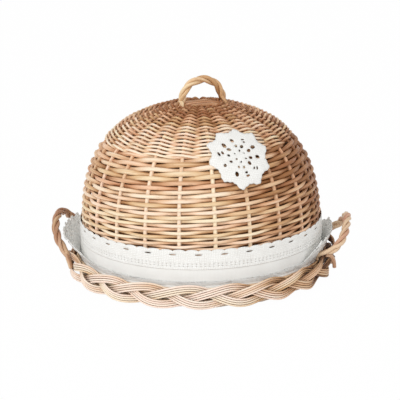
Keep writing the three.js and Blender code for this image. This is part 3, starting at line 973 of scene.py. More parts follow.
def lace_tile(name: str, outline: Points, holes: list, height: float) -> Piece:
    """Makes one flat tile of lace, with its height from 0 to 1 in metres and its UV map in real sizes.

    Args:
        name: The strip's name.
        outline: The tile's edge, across in millimetres and up from 0 to 1.
        holes: The tile's holes.
        height: The strip's real height.

    Returns:
        The tile.
    """
    real = np.array([1, height])
    spacing = 2.2
    flat, triangles = pierced_plate(outline * real, [hole * real for hole in holes], spacing)
    spot = np.concatenate([flat, np.zeros((len(flat), 1))], axis=1)
    tile = new_object(f"{name}_tile", spot * [1, 1 / height / MM, 1], [], triangles)
    set_uv(tile, flat)
    return tile


def thickened(piece: Piece, thickness: float, material: Material) -> Piece:
    """Gives a sheet its thickness and its finish.

    Args:
        piece: The sheet, as one layer of faces.
        thickness: In millimetres.
        material: The finish.

    Returns:
        The sheet as a plain mesh.
    """
    solidify = piece.modifiers.new("thickness", "SOLIDIFY")
    solidify.thickness = thickness * MM
    solidify.offset = 0
    piece = made_plain(piece)
    piece.data.materials.clear()
    piece.data.materials.append(material)
    piece.data.polygons.foreach_set("use_smooth", [True] * len(piece.data.polygons))
    return piece


def turned_cloth(name: str, outline: Points, segments: int, crease: Crease) -> Piece:
    """A sheet turned about the upright axis, with creases.

    Args:
        name: The piece's name.
        outline: Rows of radius and height. A first row on the axis makes a closed pole.
        segments: How many steps round the axis.
        crease: From an angle and a share of the outline, how far the cloth stands out.

    Returns:
        The sheet, one layer thick, with its UV map.
    """
    run = np.concatenate([[0], np.cumsum(np.linalg.norm(np.diff(outline, axis=0), axis=1))])
    slope = np.gradient(outline, axis=0)
    outward = unit(np.stack([slope[:, 1], -slope[:, 0]], axis=-1))
    pole = outline[0, 0] == 0
    first = 1 if pole else 0
    angle = np.linspace(0, TURN, segments, endpoint=False)
    rows = []
    flat = []
    for i in range(first, len(outline)):
        out = crease(angle, np.full(segments, run[i] / run[-1]))
        rows.append(polar(outline[i, 0] + out * outward[i, 0], angle, outline[i, 1] + out * outward[i, 1]))
        flat.append(np.stack([angle * outline[-1, 0], np.full(segments, run[i])], axis=-1))
    faces = []
    for i in range(len(rows) - 1):
        for k in range(segments):
            here, there = i * segments + k, i * segments + (k + 1) % segments
            faces.append((here, there, there + segments, here + segments))
    points = np.concatenate(rows)
    spread = np.concatenate(flat)
    if pole:
        top = len(points)
        points = np.concatenate([points, [[0, 0, outline[0, 1]]]])
        spread = np.concatenate([spread, [[0, 0]]])
        faces += [(top, (k + 1) % segments, k) for k in range(segments)]
    piece = new_object(name, points, [], faces)
    set_uv(piece, spread)
    return piece


def creases(seed: int, size: float, waves: Sequence[int]) -> Crease:
    """Soft upright creases round a cloth.

    Args:
        seed: Picks where they fall.
        size: How far they stand out, in millimetres.
        waves: How many of each kind go round.

    Returns:
        From an angle and a share of the outline, how far the cloth stands out.
    """
    chance = np.random.default_rng(seed)
    phases = chance.uniform(0, TURN, len(waves))
    steepest = 2.5
    slants = chance.uniform(-steepest, steepest, len(waves))

    def stand(angle: Points, share: Points) -> Points:
        """How far the cloth stands out at an angle and a share of its outline."""
        sum_of_waves = sum(np.sin(n * angle + p + s * share) for n, p, s in zip(waves, phases, slants))
        return size * sum_of_waves / len(waves)

    return stand


# Weaves and ropes


def paired_weave(ends: int, rounds: float, steps: int, place: Placed) -> list[tuple[Points, Points]]:
    """Two strands that pass in front of and behind the stakes by turns and cross between them.

    Args:
        ends: How many stakes they pass in a round.
        rounds: How many rounds they make.
        steps: Steps from one stake to the next.
        place: From rounds made, swing (1 in front, -1 behind) and twist (-1 to 1), where the strand is.

    Returns:
        The lines of the two strands, each with its dips.
    """
    stake = np.linspace(0, rounds * ends, int(rounds * ends * steps) + 1)
    strands = []
    for side in (1, -1):
        swing = side * (np.cos(math.pi * stake) + np.arcsin(np.cos(math.pi * stake)) * 2 / math.pi) / 2
        strands.append((place(stake / ends, swing, side * np.sin(math.pi * stake)), (1 - swing) / 2))
    return strands


def crossed_lines(
    ends: int, way_out: Points, rod: float, pitch: float, eye: float, turn: float, steps: int
) -> list[Points]:
    """The lines of rods that cross in the middle in two layers and fan out from there.

    Args:
        ends: How many rod ends there are all round.
        way_out: Rows of radius and height, from the crossing outwards.
        rod: The rods' diameter.
        pitch: How far apart the rods of a layer lie where they cross.
        eye: The radius of the crossing.
        turn: The heading of the upper layer.
        steps: Steps along a rod.

    Returns:
        One line per rod.
    """
    layers = (math.ceil(ends / 4), ends // 4)
    level = rod / 2 + 0.15
    knee = 0.6 * eye
    lines = []
    for number in range(sum(layers)):
        layer, i = divmod(number, layers[0])
        place = i - (layers[layer] - 1) / 2
        fan = place * TURN / ends
        height = way_out[0, 1] + (level if layer == 0 else -level)
        crossing = [[x, place * pitch, height] for x in (knee, 0, -knee)]
        far = polar(way_out[:, 0], fan, way_out[:, 1])[::-1]
        back = polar(way_out[:, 0], math.pi - fan, way_out[:, 1])
        turned = np.array(Matrix.Rotation(turn + layer * math.pi / 2, 3, "Z"))
        lines.append(even_steps(np.concatenate([far, crossing, back]) @ turned.T, steps))
    return lines


def cut_rods(strands: Sequence[tuple[Points, Points]], diameter: float, pieces: int) -> list[Rod]:
    """Cuts long strands into rods of a real length.

    Args:
        strands: Each strand's line and dips.
        diameter: The rods' diameter.
        pieces: How many rods make up a strand.

    Returns:
        The rods.
    """
    rods = []
    for line, dip in strands:
        pairs = zip(np.array_split(line, pieces), np.array_split(dip, pieces))
        rods += [Rod(part, diameter, dip=part_dip) for part, part_dip in pairs]
    return rods


@dataclass(frozen=True)
class RopeLay:
    """How three rods are laid up as a rope."""

    slack: float
    turns: float
    rod: float = 4.8
    wind_from: float = 0.16
    foot_spread: float = 5.0
    steps: int = 90

    def lines(self, knots: Sequence[Sequence[float]], side: Callable[[Points], Points]) -> list[Points]:
        """The lines of the three rods.

        Args:
            knots: A few points on the rope's middle line, from foot to foot.
            side: From the rope's directions, the directions in which its rods lie side by side.

        Returns:
            One line per rod.
        """
        middle = smooth_line(knots, self.steps)
        tangent = unit(np.gradient(middle, axis=0))
        across = side(tangent)
        outward = np.cross(across, tangent)
        share = np.linspace(0, 1, self.steps + 1)
        wound = smoothstep(np.minimum(share, 1 - share), self.wind_from / 3, self.wind_from)
        run = np.clip((share - self.wind_from) / (1 - 2 * self.wind_from), 0, 1)
        radius = wound * (self.rod / math.sqrt(3) + self.slack)
        lines = []
        for place in (-1, 0, 1):
            lay = TURN * (self.turns * run + place / 3)
            aside = radius * np.sin(lay) + (1 - wound) * place * self.foot_spread
            lines.append(middle + outward * (radius * np.cos(lay))[:, None] + across * aside[:, None])
        return lines


# Lid


@dataclass
class Dome:
    """The outside of the lid: a tall dome on a short upright wall."""

    radius: float = 151.0
    spring: float = 60.0
    apex: float = 208.0
    foot: float = 22.0
    shoulder_round: float = 0.7
    shoulder_rise: float = 0.9
    peak: float = 5.0
    peak_flat: float = 12.0
    peak_reach: float = 80.0
    rounds: Points = field(init=False, repr=False)
    heights: Points = field(init=False, repr=False)
    arc: Points = field(init=False, repr=False)

    def __post_init__(self) -> None:
        """Works out the outline from the apex down to the foot."""
        turn = np.linspace(math.pi / 2, 0, 600)
        radius = self.radius * np.clip(np.cos(turn), 0, 1) ** self.shoulder_round
        height = self.spring + (self.apex - self.spring) * np.sin(turn) ** self.shoulder_rise
        height += self.peak * (1 - smoothstep(radius, self.peak_flat, self.peak_reach))
        radius[0] = 0
        self.rounds = np.append(radius, self.radius)
        self.heights = np.append(height, self.foot)
        steps = np.hypot(np.diff(self.rounds), np.diff(self.heights))
        self.arc = np.concatenate([[0], np.cumsum(steps)])

    def arc_at_radius(self, radius: float) -> float:
        """How far down the outline, from the apex, a radius is reached."""
        return float(np.interp(radius, self.rounds[:-1], self.arc[:-1]))

    def arc_at_height(self, height: float) -> float:
        """How far down the outline, from the apex, a height is reached."""
        return float(np.interp(-height, -self.heights, self.arc))

    def outline(self, arc: Points, depth: Points) -> Points:
        """Points of the outline moved inwards.

        Args:
            arc: How far down the outline from the apex.
            depth: How far in from the outside.

        Returns:
            Rows of radius and height.
        """
        near = 2.0
        before, after = np.clip(arc - near, 0, self.arc[-1]), np.clip(arc + near, 0, self.arc[-1])
        along = np.stack(
            [
                np.interp(after, self.arc, self.rounds) - np.interp(before, self.arc, self.rounds),
                np.interp(after, self.arc, self.heights) - np.interp(before, self.arc, self.heights),
            ],
            axis=-1,
        )
        along = unit(along)
        radius = np.interp(arc, self.arc, self.rounds) + along[..., 1] * depth
        below = np.maximum(arc - self.arc[-1], 0)
        height = np.interp(arc, self.arc, self.heights) - along[..., 0] * depth - below
        return np.stack([np.maximum(radius, 0), height], axis=-1)

    def point(self, angle: Points, arc: Points, depth: Points) -> Points:
        """Points of the dome at an angle, a way down from the apex and a depth."""
        place = self.outline(np.asarray(arc, float), depth)
        return polar(place[..., 0], angle, place[..., 1])


@dataclass
class Lid:
    """The woven dome lid with its loop handle, cotton hem, lace ribbon and crochet doily."""

    weaver: RodWeaver
    lacer: LaceMaker
    finish: Finishes
    dome: Dome = field(default_factory=Dome)
    turn: float = math.radians(29.7)
    stake_ends: int = 22
    stake: float = 4.8
    stake_pitch: float = 4.8
    stake_depth: float = 5.4
    # Painted light: the stakes' dip is below 0, so they are painted paler.
    stake_painted_light: float = -0.5
    slath_radius: float = 23.0
    crown_radius: float = 119.0
    crown_rod: float = 2.9
    crown_pitch: float = 4.7
    crown_open: float = 8.0
    crown_swing: float = 3.4
    side_levels: int = 36
    side_growth: float = 2.2
    side_weavers: int = 8
    side_swing: float = 3.0
    hem_foot: float = 11.6
    hem_top: float = 49.6
    hem_inner_top: float = 29.6
    lace_foot: float = 46.1
    lace_width: float = 24.0
    doily_drop: float = 0.5
    doily_angle: float = math.radians(-60.3)

    def build(self) -> None:
        """Makes every piece of the lid."""
        self.stakes()
        self.crown()
        self.side()
        self.rim()
        self.handle()
        self.hem()
        self.lining()
        self.ribbon()
        self.doily()

    def stakes(self) -> None:
        """Stakes that cross at the crown in two layers and run down to the foot."""
        fan_from, steps = 30.0, 110
        arc = np.linspace(self.dome.arc_at_radius(fan_from), self.dome.arc[-1], 40)
        down = self.dome.outline(arc, np.full(len(arc), self.stake_depth))
        lines = crossed_lines(
            self.stake_ends, down, self.stake, self.stake_pitch, self.slath_radius, self.turn, steps
        )
        for i, line in enumerate(lines):
            rods = [Rod(line, self.stake, dip=self.stake_painted_light)]
            piece = self.weaver.weave(
                numbered("lid_stake_rod", i), rods, self.finish.peeled, seed=100 + i, wander=0.4
            )
            dress(piece, Body.LID, Slot.PEELED, numbered("lid_stake", i))

    def crown(self) -> None:
        """Fine pairing round the crown, worked as one spiral of two strands."""
        outer = self.dome.arc_at_radius(self.crown_radius) - self.crown_pitch / 2
        inner = self.dome.arc_at_radius(self.slath_radius)
        rounds = 2 * (outer - inner) / (self.crown_pitch + self.crown_open)
        opening = (self.crown_open - self.crown_pitch) / (2 * rounds)
        twist_rise = 1.1
        middle = self.crown_rod / 2 + self.crown_swing

        def place(made: Points, swing: Points, twist: Points) -> Points:
            """Where a strand is after some rounds."""
            arc = outer - (self.crown_pitch + opening * made) * made + twist_rise * twist
            return self.dome.point(self.stake_angle() + TURN * made, arc, middle - self.crown_swing * swing)

        # Painted light and shade on the crown: strokes are painted paler in front and darker behind the
        # stakes. The crown is also darker towards the apex, within the radii given here.
        apex_darker_within, apex_darker_until = 30.0, 95.0
        front_painted_light, behind_painted_shade, apex_darker = -1.5, 2.1, 1.9
        steps, pieces = 8, 24
        strands = []
        for line, dip in paired_weave(self.stake_ends, rounds, steps, place):
            near_apex = 1 - smoothstep(np.hypot(line[:, 0], line[:, 1]), apex_darker_within, apex_darker_until)
            strands.append((line, behind_painted_shade * dip + front_painted_light + apex_darker * near_apex))
        rods = cut_rods(strands, self.crown_rod, pieces)
        piece = self.weaver.weave("lid_crown_rods", rods, self.finish.peeled, seed=7, sides=7, wander=0.9)
        dress(piece, Body.LID, Slot.PEELED, "lid_crown_weave")

    def stake_angle(self) -> float:
        """The angle of one stake in the part's frame."""
        return self.turn + TURN / self.stake_ends / 2

    def side_arc(self, level: Points) -> Points:
        """How far down the outline a level of the coarse weave lies.

        Args:
            level: Counted from 0 at the foot up to the seam.

        Returns:
            The way down from the apex.
        """
        seam = self.dome.arc_at_radius(self.crown_radius)
        share = (self.side_growth ** (level / self.side_levels) - 1) / (self.side_growth - 1)
        return self.dome.arc[-1] - (self.dome.arc[-1] - seam) * share

    def side(self) -> None:
        """Coarse weave: weavers that climb round the lid, in front of a stake and behind the next."""
        chance = np.random.default_rng(31)
        climb = self.side_weavers / self.stake_ends
        lap, over, tuck, snug = 0.06, 1.7, 3.0, 0.95
        thin, thick, taper = 0.92, 1.02, 0.08
        tuck_from, tuck_to = self.side_levels - 0.3, self.side_levels + 1
        steps, rod_stakes, soonest, latest, last_whole = 8, 6, 2, 7, 3
        rods = []
        for weaver in range(self.side_weavers):
            first, last = -weaver / climb, (self.side_levels + over - weaver) / climb
            passing = range(math.ceil(first), math.floor(last) + 1)
            behind = [stake for stake in passing if (stake + weaver) % 2]
            joints = behind[int(chance.integers(soonest, latest)) : -last_whole : rod_stakes]
            ends = [first, *joints, behind[-1]]
            for start, end in zip(ends, ends[1:]):
                passed = np.linspace(start - lap, end + lap, int((end - start) * steps))
                level = weaver + climb * passed
                arc = self.side_arc(level)
                pitch = -np.gradient(arc, level)
                # The dip sets how deep the weaver lies, and it also paints shade on the weaver behind a
                # stake.
                dip = (1 - np.cos(math.pi * (weaver + passed))) / 2
                depth = pitch / 2 * snug + 2 * self.side_swing * dip
                depth += tuck * smoothstep(level, tuck_from, tuck_to)
                angle = self.stake_angle() + TURN / self.stake_ends * passed
                butt = chance.uniform(thin, thick)
                line = self.dome.point(angle, arc, depth)
                rods.append(Rod(line, pitch[0] * butt, pitch[-1] * (butt - taper), dip=dip))
        piece = self.weaver.weave("lid_side_rods", rods, self.finish.peeled, seed=11, wander=1.2)
        dress(piece, Body.LID, Slot.PEELED, "lid_side_weave")

    def rim(self) -> None:
        """Rod border under the hem: three rods twisted round the foot."""
        strands, twists, rod, lay_radius = 3, 24, 4.0, 2.3
        inset, height = 4.5, 17.2
        radius = self.dome.radius - inset
        angle = np.linspace(0, TURN, 360, endpoint=False)
        rods = []
        for i in range(strands):
            lay = twists * angle + TURN * i / strands
            line = polar(radius + lay_radius * np.cos(lay), angle, height + lay_radius * np.sin(lay))
            rods.append(Rod(line, rod, closed=True))
        piece = self.weaver.weave("lid_rim_rods", rods, self.finish.peeled, seed=13, sides=6, wander=0.0)
        dress(piece, Body.LID, Slot.PEELED, "lid_rim_border")

    def handle(self) -> None:
        """Loop handle of three rods laid up as a rope."""
        foot, half, seat, top, shift = 28.5, 26.0, 207.2, 238.0, 5.0
        sunk, clear = 6.75, 0.3
        rise = top - seat
        leg = [(foot, seat - sunk), (foot, seat + clear), ((foot + half) / 2, seat + 0.22 * rise)]
        leg += [(out * half, seat + up * rise) for out, up in ((0.95, 0.46), (0.74, 0.75), (0.38, 0.945))]
        loop = [*leg, (0, top), *[(-x, z) for x, z in reversed(leg)]]
        knots = [(x + shift, 0, z) for x, z in loop]
        lay = RopeLay(slack=0.0, turns=1.5, foot_spread=foot * math.sin(TURN / self.stake_ends))
        turned = np.array(Matrix.Rotation(self.turn, 3, "Z"))
        lines = lay.lines(knots, lambda along: np.broadcast_to([0, 1.0, 0], along.shape))
        dark, light = 1.0, -0.6
        for i, line in enumerate(lines):
            rods = [Rod(line @ turned.T, lay.rod, dip=np.linspace(dark, light, len(line)))]
            piece = self.weaver.weave(
                numbered("top_handle_willow", i), rods, self.finish.straw, seed=20 + i, wander=0.3
            )
            dress(piece, Body.LID, Slot.BROWN, numbered("top_handle_rod", i))

    def hem(self) -> None:
        """Cotton hem turned round the foot of the lid."""
        outside, inside, fold = self.dome.radius + 0.8, 141.2, 2.5
        under, bevel = self.hem_foot + 0.4, 0.3 * fold
        outline = np.array(
            [
                (inside, self.hem_inner_top),
                (inside, self.hem_foot + fold),
                (inside + bevel, self.hem_foot + bevel),
                (inside + fold, under),
                (outside - fold, under),
                (outside - bevel, self.hem_foot + bevel),
                (outside, self.hem_foot + fold),
                (outside, self.hem_top),
            ]
        )
        walked = even_steps(outline, steps=44)[::-1]
        soft = creases(seed=3, size=0.5, waves=(9, 17, 31, 46))
        sheet = turned_cloth("lid_hem_cloth", walked, segments=288, crease=soft)
        cloth = thickened(sheet, thickness=0.7, material=self.finish.cloth)
        piece = dress(cloth, Body.LID, Slot.CLOTH, "lid_cotton_hem")

    def lining(self) -> None:
        """Cotton lining inside the dome, slack over the rod ends tucked in at the seam of the two weaves."""
        depth, slack, spread = 12.6, 4.4, 16.0
        rows, above_hem = 46, 1.0
        arc = np.linspace(0, self.dome.arc_at_height(self.hem_inner_top + above_hem), rows)
        past_seam = (arc - self.dome.arc_at_radius(self.crown_radius)) / spread
        outline = self.dome.outline(arc, depth + slack * np.exp(-(past_seam**2)))
        outline[0, 0] = 0
        soft = creases(seed=5, size=0.9, waves=(7, 13, 24))
        sheet = turned_cloth("lid_lining_cloth", outline, segments=144, crease=soft)
        cloth = thickened(sheet, thickness=0.6, material=self.finish.lining)
        piece = dress(cloth, Body.LID, Slot.CLOTH, "lid_cotton_lining")

    def ribbon(self) -> None:
        """Lace ribbon over the hem's top edge, with a scalloped top edge, eyelets and two stitched rows."""
        strip = LaceStrip(
            "lid_ribbon_lace",
            count=32,
            radius=self.dome.radius + 1.3,
            foot=self.lace_foot,
            tall=self.lace_width,
            low=self.lace_width,
            at_feet=self.lace_width,
            hug=0.03,
            ruffle=1.2,
            thickness=0.7,
            material=self.finish.lace,
        )
        width, up = strip.tile_width, 1 / self.lace_width
        eyelet_row, eyelet_long, eyelet_high = 0.74, 8.5, 1.6
        stitch_rows, stitches, stitch_long, stitch_high = (0.17, 0.28), 6, 1.4, 0.6
        holes = [oval(width / 2, eyelet_row, eyelet_long, eyelet_high * up)]
        for row in stitch_rows:
            spots = [(i + 0.5) * width / stitches for i in range(stitches)]
            holes += [oval(x, row, stitch_long, stitch_high * up, corners=6) for x in spots]
        edge = strip.edge(scallops=2, notch=0.075, blunt=0.6, steps=24, side_steps=10)
        piece = self.lacer.make(strip, edge, holes, holes)
        dress(piece, Body.LID, Slot.LACE, "lid_lace_ribbon")

    def doily(self) -> None:
        """Round crochet doily that lies on the dome, with blunt points and rings of uneven holes."""
        chance = np.random.default_rng(29)
        points, steps, first = 10, 20, math.radians(26)
        valley, tip, uneven, stretch = 32.5, 38.2, 1.2, 1.05
        blunt, stitches, stitch = 0.07, 4, 0.45
        sector = np.linspace(0, points, points * steps, endpoint=False)
        off = np.abs((sector + 0.5) % 1 - 0.5)
        tips = chance.uniform(-uneven, uneven, points)[np.round(sector).astype(int) % points]
        flank = np.clip(off - blunt, 0, None) / (1 - 2 * blunt)
        reach = valley + (tip + tips - valley) * (1 - np.sin(math.pi * flank))
        reach = reach + stitch * np.sin(TURN * stitches * sector)
        turn = first + sector / points * TURN
        outline = np.stack([stretch * reach * np.cos(turn), reach * np.sin(turn)], axis=-1)
        rings = ((6, 6.2, 1.8, 2.6), (10, 13.4, 3.3, 4.2), (10, 21.6, 4.4, 5.8))
        stray, small, large, drift, twist = 0.14, 0.75, 1.35, 0.9, 0.7
        barred_beyond, barred_each, half, apart, shorter = 20.0, 3, 0.4, 0.3, 0.8
        holes = []
        for count, ring, wide, tall in rings:
            for k in range(count):
                at = first + TURN * (k + 0.5 + chance.uniform(-stray, stray)) / count
                size = chance.uniform(small, large)
                out = ring + chance.uniform(-drift, drift)
                tilt = at + chance.uniform(-twist, twist)
                x, y = stretch * out * math.cos(at), out * math.sin(at)
                long, across = tall * size, wide * size
                if ring > barred_beyond and k % barred_each == 0:
                    dx, dy = apart * long * math.cos(tilt), apart * long * math.sin(tilt)
                    holes.append(oval(x + dx, y + dy, half * long, across, tilt, 8))
                    holes.append(oval(x - dx, y - dy, half * long, shorter * across, tilt, 8))
                else:
                    holes.append(oval(x, y, long, across, tilt, 8))
        spacing = 2.4
        flat, triangles = pierced_plate(outline, holes, spacing)
        middle = self.dome.arc_at_radius(self.crown_radius) + self.doily_drop
        arc = middle + flat[:, 0]
        radius = self.dome.outline(arc, np.zeros(len(arc)))[:, 0]
        above, swell, long, wide = 1.0, 0.35, 4.0, 5.0
        ripple = swell * np.sin(flat[:, 0] / long) * np.sin(flat[:, 1] / wide)
        spot = self.dome.point(self.doily_angle + flat[:, 1] / radius, arc, -above - ripple)
        sheet = new_object("doily_crochet", spot, [], triangles)
        set_uv(sheet, flat)
        crochet = thickened(sheet, thickness=1.2, material=self.finish.lace)
        piece = dress(crochet, Body.LID, Slot.LACE, "crochet_doily")


# Tray


@dataclass
class Tray:
    """The low woven tray with its plaited border, rope handles, cotton liner and lace edge."""

    weaver: RodWeaver
    lacer: LaceMaker
    finish: Finishes
    base: float = 10.0
    base_eye: float = 16.0
    wall_inside: float = 154.6
    wall_outside: float = 158.6
    wall_foot: float = 10.3
    wall_top: float = 26.0
    stick_ends: int = 16
    stick: float = 4.2
    stick_pitch: float = 4.7
    base_rod: float = 3.6
    base_pitch: float = 5.0
    plait_radius: float = 164.8
    plait_height: float = 17.6
    plait_waves: int = 7
    plait_swing: float = 9.6
    plait_depth: float = 3.8
    bundle_rods: int = 4
    bundle_pitch: float = 2.6
    bundle_core: float = 1.0
    border_rod: float = 2.2
    clearance: float = 0.3
    handle_half: float = math.radians(17)
    handle_reach: float = 27.0
    handle_rise: float = 38.0
    liner_inside: float = 153.3
    liner_top: float = 27.5

    @property
    def wall_middle(self) -> float:
        """The radius of the wall's middle."""
        return (self.wall_inside + self.wall_outside) / 2

    def build(self) -> None:
        """Makes every piece of the tray."""
        self.sticks()
        self.base_weave()
        self.wall()
        self.border()
        hanging = [[(8, -45, 31), (13, -41, 29), (16, -38, 22), (16.5, -36, 13)]]
        self.handle(Side.RIGHT, turn=0.0, seed=40, tails=hanging)
        self.handle(Side.LEFT, turn=math.pi, seed=50, tails=[])
        self.liner()
        self.frill()

    def sticks(self) -> None:
        """Base sticks that cross under the middle in two layers."""
        middle, steps = self.base / 2, 40
        way_out = np.array([(self.base_eye, middle), (self.wall_outside - 1, middle)])
        lines = crossed_lines(
            self.stick_ends, way_out, self.stick, self.stick_pitch, self.base_eye, 0.0, steps
        )
        for i, line in enumerate(lines):
            rods = [Rod(line, self.stick)]
            piece = self.weaver.weave(
                numbered("base_stick_rod", i), rods, self.finish.peeled, seed=70 + i, wander=0.2
            )
            dress(piece, Body.TRAY, Slot.PEELED, numbered("base_stick", i))

    def base_weave(self) -> None:
        """Flat pairing round the base sticks."""
        swing_depth = (self.base - self.base_rod) / 2
        outer = self.wall_outside - self.base_rod / 2
        rounds = (outer - self.base_eye - self.base_rod / 2) / self.base_pitch
        start, twist_reach = TURN / self.stick_ends / 2, 0.5

        def place(made: Points, swing: Points, twist: Points) -> Points:
            """Where a strand is after some rounds."""
            radius = outer - self.base_pitch * made + twist_reach * twist * np.minimum(made, 1)
            return polar(radius, start + TURN * made, self.base / 2 - swing_depth * swing)

        steps, pieces = 6, 20
        rods = cut_rods(paired_weave(self.stick_ends, rounds, steps, place), self.base_rod, pieces)
        piece = self.weaver.weave(
            "base_weave_rods", rods, self.finish.peeled, seed=17, sides=6, wander=0.0, unevenness=0.15
        )
        dress(piece, Body.TRAY, Slot.PEELED, "base_weave")

    def wall(self) -> None:
        """Low paired wall between the border and the liner."""
        rod, uprights, pitch, twist_rise = 2.6, 48, 3.3, 0.3
        swing_depth = (self.wall_outside - self.wall_inside - rod) / 2
        foot = self.wall_foot + rod / 2
        rounds = (self.wall_top - rod / 2 - foot) / pitch

        def place(made: Points, swing: Points, twist: Points) -> Points:
            """Where a strand is after some rounds."""
            radius = self.wall_middle + swing_depth * swing
            return polar(radius, TURN * made, foot + pitch * made + twist_rise * twist)

        steps, pieces = 4, 6
        rods = cut_rods(paired_weave(uprights, rounds, steps, place), rod, pieces)
        piece = self.weaver.weave("tray_wall_rods", rods, self.finish.peeled, seed=19, sides=6, wander=0.0)
        dress(piece, Body.TRAY, Slot.PEELED, "wall_weave")

    def border(self) -> None:
        """Border plaited from three flat bundles of rods, with rods behind the gaps of each bundle painted
        dark as shade.
        """
        strands, steps, core_painted_shade = 3, 196, 4
        angle = np.linspace(0, TURN, steps, endpoint=False)
        for strand in range(strands):
            phase = TURN * strand / strands

            def middle(at: Points) -> Points:
                """The middle of the bundle.

                Args:
                    at: Angles round the tray.

                Returns:
                    One point per angle.
                """
                swing = self.plait_waves * at + phase
                radius = self.plait_radius + self.plait_depth * np.sin(2 * swing)
                return polar(radius, at, self.plait_height + self.plait_swing * np.sin(swing))

            nudge = 1e-3
            along = unit(middle(angle + nudge) - middle(angle - nudge))
            outward = polar(1.0, angle, 0.0)
            outward = unit(outward - along * (outward * along).sum(axis=1, keepdims=True))
            across = np.cross(outward, along)
            # Painted shade where a bundle lies furthest in.
            dip = (1 - np.sin(2 * (self.plait_waves * angle + phase))) / 2
            rods = []
            for k in range(2 * self.bundle_rods - 1):
                core = k % 2
                aside = (k / 2 - (self.bundle_rods - 1) / 2) * self.bundle_pitch
                line = middle(angle) + across * aside - outward * core * self.bundle_core
                rods.append(Rod(line, self.border_rod, closed=True, dip=dip + core_painted_shade * core))
            piece = self.weaver.weave(
                numbered("border_rods", strand), rods, self.finish.pale, seed=30 + strand, sides=7, wander=0.5
            )
            dress(piece, Body.TRAY, Slot.PEELED, numbered("border_plait_strand", strand))

    def handle(self, side: Side, turn: float, seed: int, tails: list) -> None:
        """Rope handle, laid out flat along the rim and then bent round it.

        Its legs are given as shares of its reach, of its half width and of its rise.

        Args:
            side: Which of the two it is.
            turn: Where on the rim it stands.
            seed: Picks its rods' tones.
            tails: A few points on each rod end that hangs over the border, as out, along and up.
        """
        foot = self.handle_half * self.wall_middle
        inside = (
            (0, 1, 0),
            (0, 1, 0.1),
            (0.1, 1, 0.17),
            (0.3, 0.99, 0.23),
            (0.56, 0.95, 0.31),
            (0.83, 0.84, 0.47),
            (0.98, 0.6, 0.74),
            (1, 0.3, 0.94),
        )
        steep = (
            (0, 1, 0),
            (0, 1, 0.1),
            (0.16, 1, 0.17),
            (0.42, 0.99, 0.23),
            (0.7, 0.94, 0.33),
            (0.92, 0.82, 0.52),
            (1, 0.57, 0.78),
            (1, 0.3, 0.95),
        )
        over = (
            (0.44, 1.42, -0.3),
            (0.48, 1.32, -0.12),
            (0.54, 1.2, 0.04),
            (0.64, 1.08, 0.2),
            (0.78, 0.95, 0.36),
            (0.9, 0.8, 0.54),
            (0.98, 0.58, 0.77),
            (1, 0.3, 0.94),
        )
        first, last = (steep, over) if side is Side.LEFT else (inside, steep)
        shares = [(out, -on, up) for out, on, up in first] + [(1, 0, 1)] + [*reversed(last)]
        lift = self.wall_top + self.clearance
        knots = [(out * self.handle_reach, on * foot, lift + up * self.handle_rise) for out, on, up in shares]
        lean = unit(np.array([self.handle_rise, 0, -self.handle_reach]))
        lay = RopeLay(slack=0.1, turns=2.6)
        drop, tail_dark, tail_steps = [0, 0, 14.0], 1.2, 24
        for i, line in enumerate(lay.lines(knots, lambda along: unit(np.cross(along, lean)))):
            if i == 1:
                line = np.concatenate([line[:1] - drop, line])
                if last is not over:
                    line = np.concatenate([line, line[-1:] - drop])
            runs = [(line, 0.0)]
            if i == 2:
                runs += [(smooth_line(tail, tail_steps), tail_dark) for tail in tails]
            rods = []
            for run, dip in runs:
                bent = polar(self.wall_middle + run[:, 0], turn + run[:, 1] / self.wall_middle, run[:, 2])
                rods.append(Rod(bent, lay.rod, dip=dip))
            name = numbered(f"{side.value}_handle_willow", i)
            piece = self.weaver.weave(name, rods, self.finish.brown, seed=seed + i, wander=0.3)
            dress(piece, Body.TRAY, Slot.BROWN, numbered(f"{side.value}_handle_rod", i))

    def liner(self) -> None:
        """Cotton liner, a flat-bottomed cup."""
        outside, floor, bend = self.liner_inside + 0.5, self.base + 0.8, 4.0
        bevel = 0.3 * bend
        outline = np.array(
            [
                (0, floor),
                (outside - bend, floor),
                (outside - bevel, floor + bevel),
                (outside, floor + bend),
                (outside, self.liner_top),
            ]
        )
        walked = even_steps(outline, steps=60)
        soft = creases(seed=8, size=0.25, waves=(11, 23, 37))
        sheet = turned_cloth("tray_liner_cloth", walked, segments=240, crease=soft)
        cloth = thickened(sheet, thickness=0.8, material=self.finish.cloth)
        piece = dress(cloth, Body.TRAY, Slot.CLOTH, "liner_cloth")

    def frill(self) -> None:
        """Lace edge of the liner, tall inside the handles' loops and low over the border."""
        strip = LaceStrip(
            "liner_frill_lace",
            count=72,
            radius=self.liner_inside + 0.5,
            foot=self.liner_top - 0.5,
            tall=27.0,
            low=5.5,
            at_feet=5.0,
            hug=0.1,
            ruffle=4.0,
            thickness=0.8,
            material=self.finish.frill,
            feet_angle=self.handle_half,
            feet_shift=math.radians(4.5),
            lean=0.75,
            lean_left=0.2,
            unevenness=0.5,
        )
        eyelet, spots = 2.0, ((0.5, 0.84), (0.2, 0.62))
        holes = [oval(strip.tile_width * x, up, eyelet, eyelet / strip.tall, corners=8) for x, up in spots]
        edge = strip.edge(scallops=1, notch=0.14, blunt=0.7, steps=12, side_steps=7)
        piece = dress(self.lacer.make(strip, edge, holes, []), Body.TRAY, Slot.LACE, "liner_lace_frill")


# Studio


